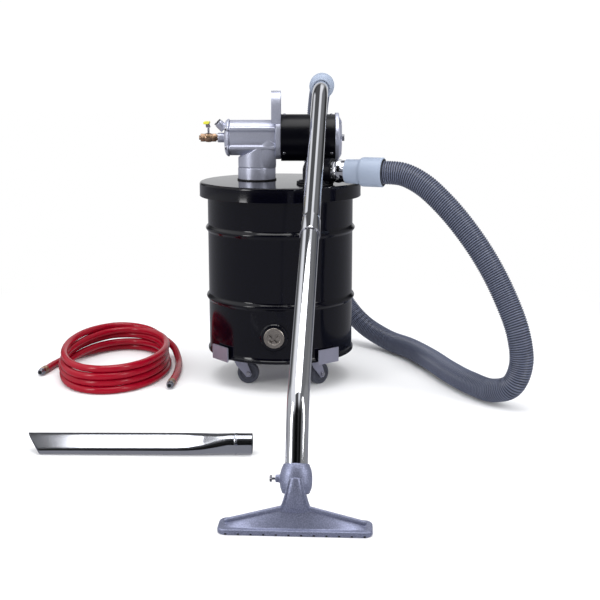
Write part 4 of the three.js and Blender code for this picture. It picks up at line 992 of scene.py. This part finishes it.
CUFF = WAND @ Matrix.Translation(wand_top - top_direction * 38) @ turn(TOP_ANGLE - 90, "X")
wand_cuff = lathe([
    (25.9, 0), (30, 0), (32, 1.5), (33, 5), (33, 26), (35, 33), (40, 40), (41.4, 45), (41.4, 50),
    (40.6, 52), (40.6, 55), (41.4, 57), (41.4, 76), (40.4, 78), (socket_radius, 78),
    (socket_radius, 56), (26.2, 40),
], 128, 1.4)
put("swivel_cuff", wand_cuff, CUFF, cuff_vinyl, "lid", ["hose_cuff_wand"],
    sharp=60)

# ---------------------------------------------------------------- floor tool

FOOT = WAND @ Matrix.Translation(wand_foot) @ turn(FOOT_ANGLE - 90, "X")
barrel = lathe([
    (25.9, -33), (28.5, -33), (30.5, -31), (34.6, -20), (36, -12), (36, 4), (35.4, 12), (33.4, 21),
    (30.6, 28), (28.6, 32.6), (27.6, 33), (25.9, 33),
], 96, 1.6)
arm = moved(lathe([(3.9, 22), (11, 22), (9.6, 32), (8.6, 40), (8.6, 45.4), (7.6, 46), (3.9, 46)],
                  48, 0.8), turn(-90, "Y"))
cast("collar", [barrel, arm], FOOT, rough_casting, "floor_tool", ["tool_collar"], grain=1.1,
     soften=5)
SCREW = FOOT @ turn(-90, "Y")
knob_sides = 24
knob = [((8 if k % 2 else 7.2) * math.cos(math.pi * k / knob_sides),
         (8 if k % 2 else 7.2) * math.sin(math.pi * k / knob_sides)) for k in range(2 * knob_sides)]
thumb = joined(bar(3.3, 27, 54, 32), prism(knob, 54, 58.8))
put("thumb_screw", thumb, SCREW, steel, "tool_screw", ["tool_screw"], bevel=0.3)

TOOL_HALF, TOOL_FRONT, TOOL_DEPTH = 170, -74, 74
TOOL_MIDDLE = TOOL_FRONT + TOOL_DEPTH / 2
LIP_HEIGHT = 12.5
BEAD_RADIUS, BEAD_HALF, BEAD_DROP = 5.4, 152, 1.4


def sole_outline(inset, radius=20, steps=10):
    """The sole's outline in plan, with round corners."""
    wide, deep = TOOL_HALF - inset, TOOL_DEPTH / 2 - inset
    radius -= inset
    out = []
    for corner, (sx, sy) in enumerate(((1, 1), (-1, 1), (-1, -1), (1, -1))):
        for k in range(steps + 1):
            angle = math.radians(90 * corner + 90 * k / steps)
            out.append((sx * (wide - radius) + radius * math.cos(angle),
                        TOOL_MIDDLE + sy * (deep - radius) + radius * math.sin(angle)))
    return out


sole_rows = [[(x, y, z) for x, y in sole_outline(inset)]
             for inset, z in ((1.6, 0), (0, 1.8), (0, LIP_HEIGHT - 2.5), (0.9, LIP_HEIGHT - 0.8),
                              (3, LIP_HEIGHT), (8, LIP_HEIGHT))]
sole = grid(sole_rows)


def ridge_height(x):
    """How high the floor tool's ridge stands at a place along it."""
    return 21 + 31 * min(1, max(0, (152 - abs(x)) / 119))


def wing_section(x):
    """The wing between the sole and its ridge, at a place along the tool."""
    height = ridge_height(x)
    fade = math.sqrt(max(0.0, 1 - max(0, (abs(x) - 148) / 9) ** 2))
    foot = 12 + 17 * fade
    top = 9 + (height - 12) * fade
    lower = 0.84 * foot
    rows = [(foot, 6), (foot, 11.5), (lower, 12.6), ((lower + 4) / 2, 6.3 + (top - 3) / 2),
            (4, top - 3), (3.2, top), (0, top + 1)]
    front = [(-y, z) for y, z in rows]
    back = [(y, z) for y, z in reversed(rows[:-1])]
    return [(x, TOOL_MIDDLE + y, z) for y, z in front + back]


wings = grid([wing_section(x) for x in np.linspace(-156.9, 156.9, 140)])
ridge = np.array([(x, TOOL_MIDDLE, ridge_height(x) - BEAD_DROP)
                  for x in np.linspace(-BEAD_HALF, BEAD_HALF, 60)])
ridge_bead = tube(ridge, BEAD_RADIUS, 20)
bead_arc = [(BEAD_RADIUS * math.cos(a), BEAD_RADIUS * math.sin(a))
            for a in (math.radians(step) for step in range(-80, 81, 20))]
bead_end = lathe([(0, -BEAD_RADIUS), *bead_arc, (0, BEAD_RADIUS)], 20, 0)
ends = [moved(bead_end, shift(side * BEAD_HALF, TOOL_MIDDLE, ridge_height(BEAD_HALF) - BEAD_DROP))
        for side in (-1, 1)]

# Down the foot's axis: half width of the neck, and how far it reaches forward and back.
neck_plan = ((-1, 13, 36.5, 10), (1, 14, 38.6, 10), (10, 17, 38.6, 12), (22, 20.5, 38.2, 22),
             (34, 24, 36.4, 26), (46, 27.5, 33, 26), (56, 31, 28.5, 25), (65, 36, 23, 23),
             (72, 42, 17, 20), (78, 50, 11, 17))
over = Vector((0, -math.sin(math.radians(FOOT_ANGLE)), math.cos(math.radians(FOOT_ANGLE))))
neck_rows, left_rib, right_rib = [], [], []
for down, wide, ahead, behind in neck_plan:
    centre = wand_foot - foot_direction * down + over * (ahead - behind) / 2
    deep = (ahead + behind) / 2
    row = []
    for k in range(64):
        angle = 2 * math.pi * k / 64
        c, q = math.cos(angle), math.sin(angle)
        across = math.copysign(abs(c) ** 0.75, c) * wide
        row.append(tuple(centre + Vector((across, 0, 0)) + over * deep
                         * math.copysign(abs(q) ** 0.8, q)))
    neck_rows.append(row)
    if -1 < down < 66:
        left_rib.append(tuple(centre + Vector((-0.86 * wide, 0, 0)) + over * (deep - 5)))
        right_rib.append(tuple(centre + Vector((0.86 * wide, 0, 0)) + over * (deep - 5)))
neck = grid(neck_rows)
ribs = [tube(smooth_path(line, 6), 2.3, 14) for line in (left_rib, right_rib)]

floor_tool = cast("floor_head", [sole, wings, ridge_bead, *ends, neck, *ribs], WAND,
                  rough_casting, "floor_tool", ["floor_tool"], grain=1.1, soften=5)
cut(floor_tool, (block(300, 22, 26, 0, TOOL_MIDDLE, 1), WAND),
    (block(500, 300, 40, 0, TOOL_MIDDLE, -20), WAND))
# Painted shadow: black blocks on the sole's front stand for the shade in its notches.
notch_places = [shift(-150 + 27.5 * k, TOOL_FRONT + 1.2, 3.1) for k in range(12)]
repeat("sole_notches", block(4.6, 3, 3.4), notch_places, WAND, shadow, "floor_tool")

# ---------------------------------------------------------------- casters


def wheel_profile():
    """A caster wheel's tread, sides and hub."""
    return [
        (4.6, -13.2), (10.5, -13.2), (11.5, -9), (23.5, -8.6), (25.5, -11.6), (31, -12),
        (34, -9.5), (35, -4), (35, 4), (34, 9.5), (31, 12), (25.5, 11.6), (23.5, 8.6), (11.5, 9),
        (10.5, 13.2), (4.6, 13.2),
    ]


for name in ("front_left", "front_right", "rear_right", "rear_left"):
    low, high = corners(f"caster_wheel_{name}")
    middle = (low + high) / 2
    heading = {"front_left": 0, "front_right": 42, "rear_right": 65, "rear_left": 20}[name]
    WHEEL = Matrix.Translation(middle) @ Matrix.Scale(0.001, 4) @ turn(heading) @ turn(90, "X")
    put(f"wheel_{name}_tyre", lathe(wheel_profile(), 96, 1.2), WHEEL, tread, f"wheel_{name}",
        [f"caster_wheel_{name}"])
    axle = joined(
        lathe([(0, -24), (5.4, -24), (6.6, -22.8), (6.8, -18.6), (3.9, -18.4), (3.9, 18.4),
               (6.8, 18.6), (6.6, 23.4), (0, 23.8)], 40, 0.5),
        hexagon(11.6, 18.7, 23),
    )
    put(f"axle_{name}", axle, WHEEL, steel, f"caster_{name}", [f"caster_axle_{name}"])

# ---------------------------------------------------------------- crevice tool

CREVICE_LENGTH, CREVICE_RADIUS, CREVICE_WALL = 600, 27, 1.6
FLAT_HALF_WIDTH, FLAT_HALF_HEIGHT = 33, 11
crevice_stations = np.array([
    # along, half width, half height, squareness of the section
    (0, FLAT_HALF_WIDTH, FLAT_HALF_HEIGHT, 0.55), (400, FLAT_HALF_WIDTH, FLAT_HALF_HEIGHT, 0.55),
    (432, 32.8, 11.8, 0.6),
    (470, 31.6, 15.5, 0.75), (505, 29, 21.5, 0.92), (536, CREVICE_RADIUS, 26.6, 1),
    (548, CREVICE_RADIUS, CREVICE_RADIUS, 1), (553, CREVICE_RADIUS, CREVICE_RADIUS, 1),
    (557, CREVICE_RADIUS + 1.4, CREVICE_RADIUS + 1.4, 1), (561, CREVICE_RADIUS, CREVICE_RADIUS, 1),
    (CREVICE_LENGTH, CREVICE_RADIUS, CREVICE_RADIUS, 1),
])
CREVICE_ROLL = math.radians(30)
tip_height = (FLAT_HALF_WIDTH * math.sin(CREVICE_ROLL)
              + FLAT_HALF_HEIGHT * math.cos(CREVICE_ROLL) - 3)


def crevice_rows(inset, sides=96):
    """Rings along the crevice tool, from its slanted tip to its socket."""
    rows = []
    places = np.concatenate([np.linspace(0, 400, 6), np.linspace(408, 548, 36),
                             np.linspace(550, 564, 12), [598, CREVICE_LENGTH]])
    cos, sin = math.cos(CREVICE_ROLL), math.sin(CREVICE_ROLL)
    for along in places:
        wide, tall, power = (np.interp(along, crevice_stations[:, 0], crevice_stations[:, i])
                             for i in (1, 2, 3))
        axis_z = tip_height + (CREVICE_RADIUS - tip_height) * along / CREVICE_LENGTH
        row = []
        for k in range(sides):
            angle = 2 * math.pi * (k + 0.5) / sides
            c, s = math.cos(angle), math.sin(angle)
            y = (wide - inset) * math.copysign(abs(c) ** power, c)
            z = (tall - inset) * math.copysign(abs(s) ** power, s)
            slant = (20 - y * math.tan(math.radians(32))) * max(0, 1 - along / 80)
            row.append((along + slant, y * cos - z * sin, y * sin + z * cos + axis_z))
        rows.append(row)
    return rows


def lifted(rows):
    """Keeps the bead off the floor."""
    return [[(x, y, max(z, 0.0)) for x, y, z in row] for row in rows]


crevice_shape = grid(lifted(crevice_rows(0)) + crevice_rows(CREVICE_WALL)[::-1], close_rows=True,
                     caps=False)
put("crevice_nozzle", crevice_shape, CREVICE, pressed, "crevice_tool", ["crevice_tool"],
    sharp=50)

# ---------------------------------------------------------------- finishes on plain CAD pieces


def finish_node(node, material):
    """Gives a plain CAD piece its finish."""
    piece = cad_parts[node]
    for place in piece.material_slots:
        place.material = material


finish_node("dolly_cross", zinc)
for name in ("front_left", "front_right", "rear_right", "rear_left"):
    finish_node(f"caster_fork_{name}", zinc)
for node in ("muffler_core", "valve_ball"):
    finish_node(node, steel)
finish_node("muffler_foam", foam)
finish_node("mixing_tube", casting)
finish_node("air_nozzle", brass)

# ---------------------------------------------------------------- floor, light and sky

floor_mesh = bpy.data.meshes.new("floor")
floor_mesh.from_pydata([(-14, -9, 0), (14, -9, 0), (14, 26, 0), (-14, 26, 0)], [], [(0, 1, 2, 3)])
floor = bpy.data.objects.new("floor", floor_mesh)
bpy.context.scene.collection.objects.link(floor)
# Painted floor sweep, off-white and matt: takes the soft shadows and fades into the sky.
pale = surface("pale_floor", "#f7f7f8", roughness=0.75, specular=0.1)
FADE_START, FADE_END = 0.9, 2.2
tree, shader = nodes_of(pale)
place = add(tree, "ShaderNodeNewGeometry")
away = add(tree, "ShaderNodeVectorMath", {0: place.outputs["Position"], 1: (0.1, 0.1, 0)},
           operation="DISTANCE")
far = add(tree, "ShaderNodeMapRange", {
    "Value": away.outputs["Value"], "From Min": FADE_START, "From Max": FADE_END,
}, interpolation_type="SMOOTHSTEP")
glow = add(tree, "ShaderNodeEmission", {"Color": (1, 1, 1, 1)})
fade = add(tree, "ShaderNodeMixShader", {
    0: far.outputs["Result"], 1: shader.outputs[0], 2: glow.outputs[0],
})
dim = add(tree, "ShaderNodeEmission", {"Color": (*linear("#cbccd4"), 1), "Strength": 0.5})
rays = add(tree, "ShaderNodeLightPath")
seen_in_gloss = add(tree, "ShaderNodeMixShader", {
    0: rays.outputs["Is Glossy Ray"], 1: fade.outputs[0], 2: dim.outputs[0],
})
tree.links.new(seen_in_gloss.outputs[0], tree.nodes["Material Output"].inputs["Surface"])
floor_mesh.materials.append(pale)

# The sky is white to the camera.
world = bpy.data.worlds.new("studio")
bpy.context.scene.world = world
world.use_nodes = True
tree = world.node_tree
background = tree.nodes["Background"]
where = add(tree, "ShaderNodeTexCoord").outputs["Generated"]
direction = add(tree, "ShaderNodeSeparateXYZ", {0: where}).outputs

# Each part of the room: the axis it changes along, from where to where, and its two levels.
ROOM_PARTS = {
    "ceiling": ("Z", 0.25, 0.6, 0.1, 1.0),
    "wall": ("Y", -0.7, -0.3, 0.04, 1.0),
    "flag_edge": ("X", -0.44, -0.36, 0.0, 0.9),
    "flag_back": ("X", 0.0, 0.1, 1.0, 0.0),
    "right_flag": ("X", 0.24, 0.36, 1.0, 0.2),
    "side_light": ("X", 0.5, 0.8, 0.0, 0.3),
    "left_light": ("X", -0.8, -0.6, 0.5, 0.0),
    "backdrop": ("Y", 0.86, 0.97, 0.0, 0.75),
}
levels = {}
for part, (axis, start, end, first, last) in ROOM_PARTS.items():
    levels[part] = add(tree, "ShaderNodeMapRange", {
        "Value": direction[axis], "From Min": start, "From Max": end, "To Min": first,
        "To Max": last,
    }, interpolation_type="SMOOTHSTEP").outputs["Result"]
for part, operation, first, second in (
    ("flag", "MULTIPLY", "flag_edge", "flag_back"),
    ("beside_flag", "SUBTRACT", 1.0, "flag"),
    ("upper_room", "MULTIPLY", "ceiling", "wall"),
    ("flagged_room", "MULTIPLY", "upper_room", "beside_flag"),
    ("twice_flagged", "MULTIPLY", "flagged_room", "right_flag"),
    ("with_backdrop", "MAXIMUM", "twice_flagged", "backdrop"),
    ("side_lights", "MAXIMUM", "side_light", "left_light"),
    ("room", "MAXIMUM", "with_backdrop", "side_lights"),
):
    levels[part] = add(tree, "ShaderNodeMath", {
        0: levels.get(first, first), 1: levels.get(second, second),
    }, operation=operation).outputs[0]
rays = add(tree, "ShaderNodeLightPath").outputs
soft = add(tree, "ShaderNodeMix", {"Factor": rays["Is Glossy Ray"], "A": 0.95,
                                   "B": levels["room"]}, data_type="FLOAT")
seen = add(tree, "ShaderNodeMix", {"Factor": rays["Is Camera Ray"],
                                   "A": soft.outputs["Result"], "B": 1.05}, data_type="FLOAT")
tree.links.new(seen.outputs["Result"], background.inputs["Strength"])
background.inputs["Color"].default_value = (*linear("#fcfdff"), 1)


def softbox(name, place, aim, width, height, power):
    """A rectangular lamp turned to a place."""
    light = bpy.data.lights.new(name, "AREA")
    light.shape = "RECTANGLE"
    light.size, light.size_y = width, height
    light.energy = power
    lamp = bpy.data.objects.new(name, light)
    lamp.location = place
    lamp.rotation_euler = (Vector(aim) - Vector(place)).to_track_quat("-Z", "Y").to_euler()
    bpy.context.scene.collection.objects.link(lamp)
    return lamp


softbox("left_box", (-2.4, -1.6, 1.6), (0, 0.2, 0.5), 0.7, 2.0, 34)
softbox("right_box", (2.6, -1.3, 1.7), (0.1, 0.2, 0.5), 0.6, 2.0, 26)
softbox("top_box", (0.1, 0.1, 3.4), (0.1, 0.2, 0), 2.6, 2.2, 60)
bpy.context.scene.view_settings.view_transform = "Standard"
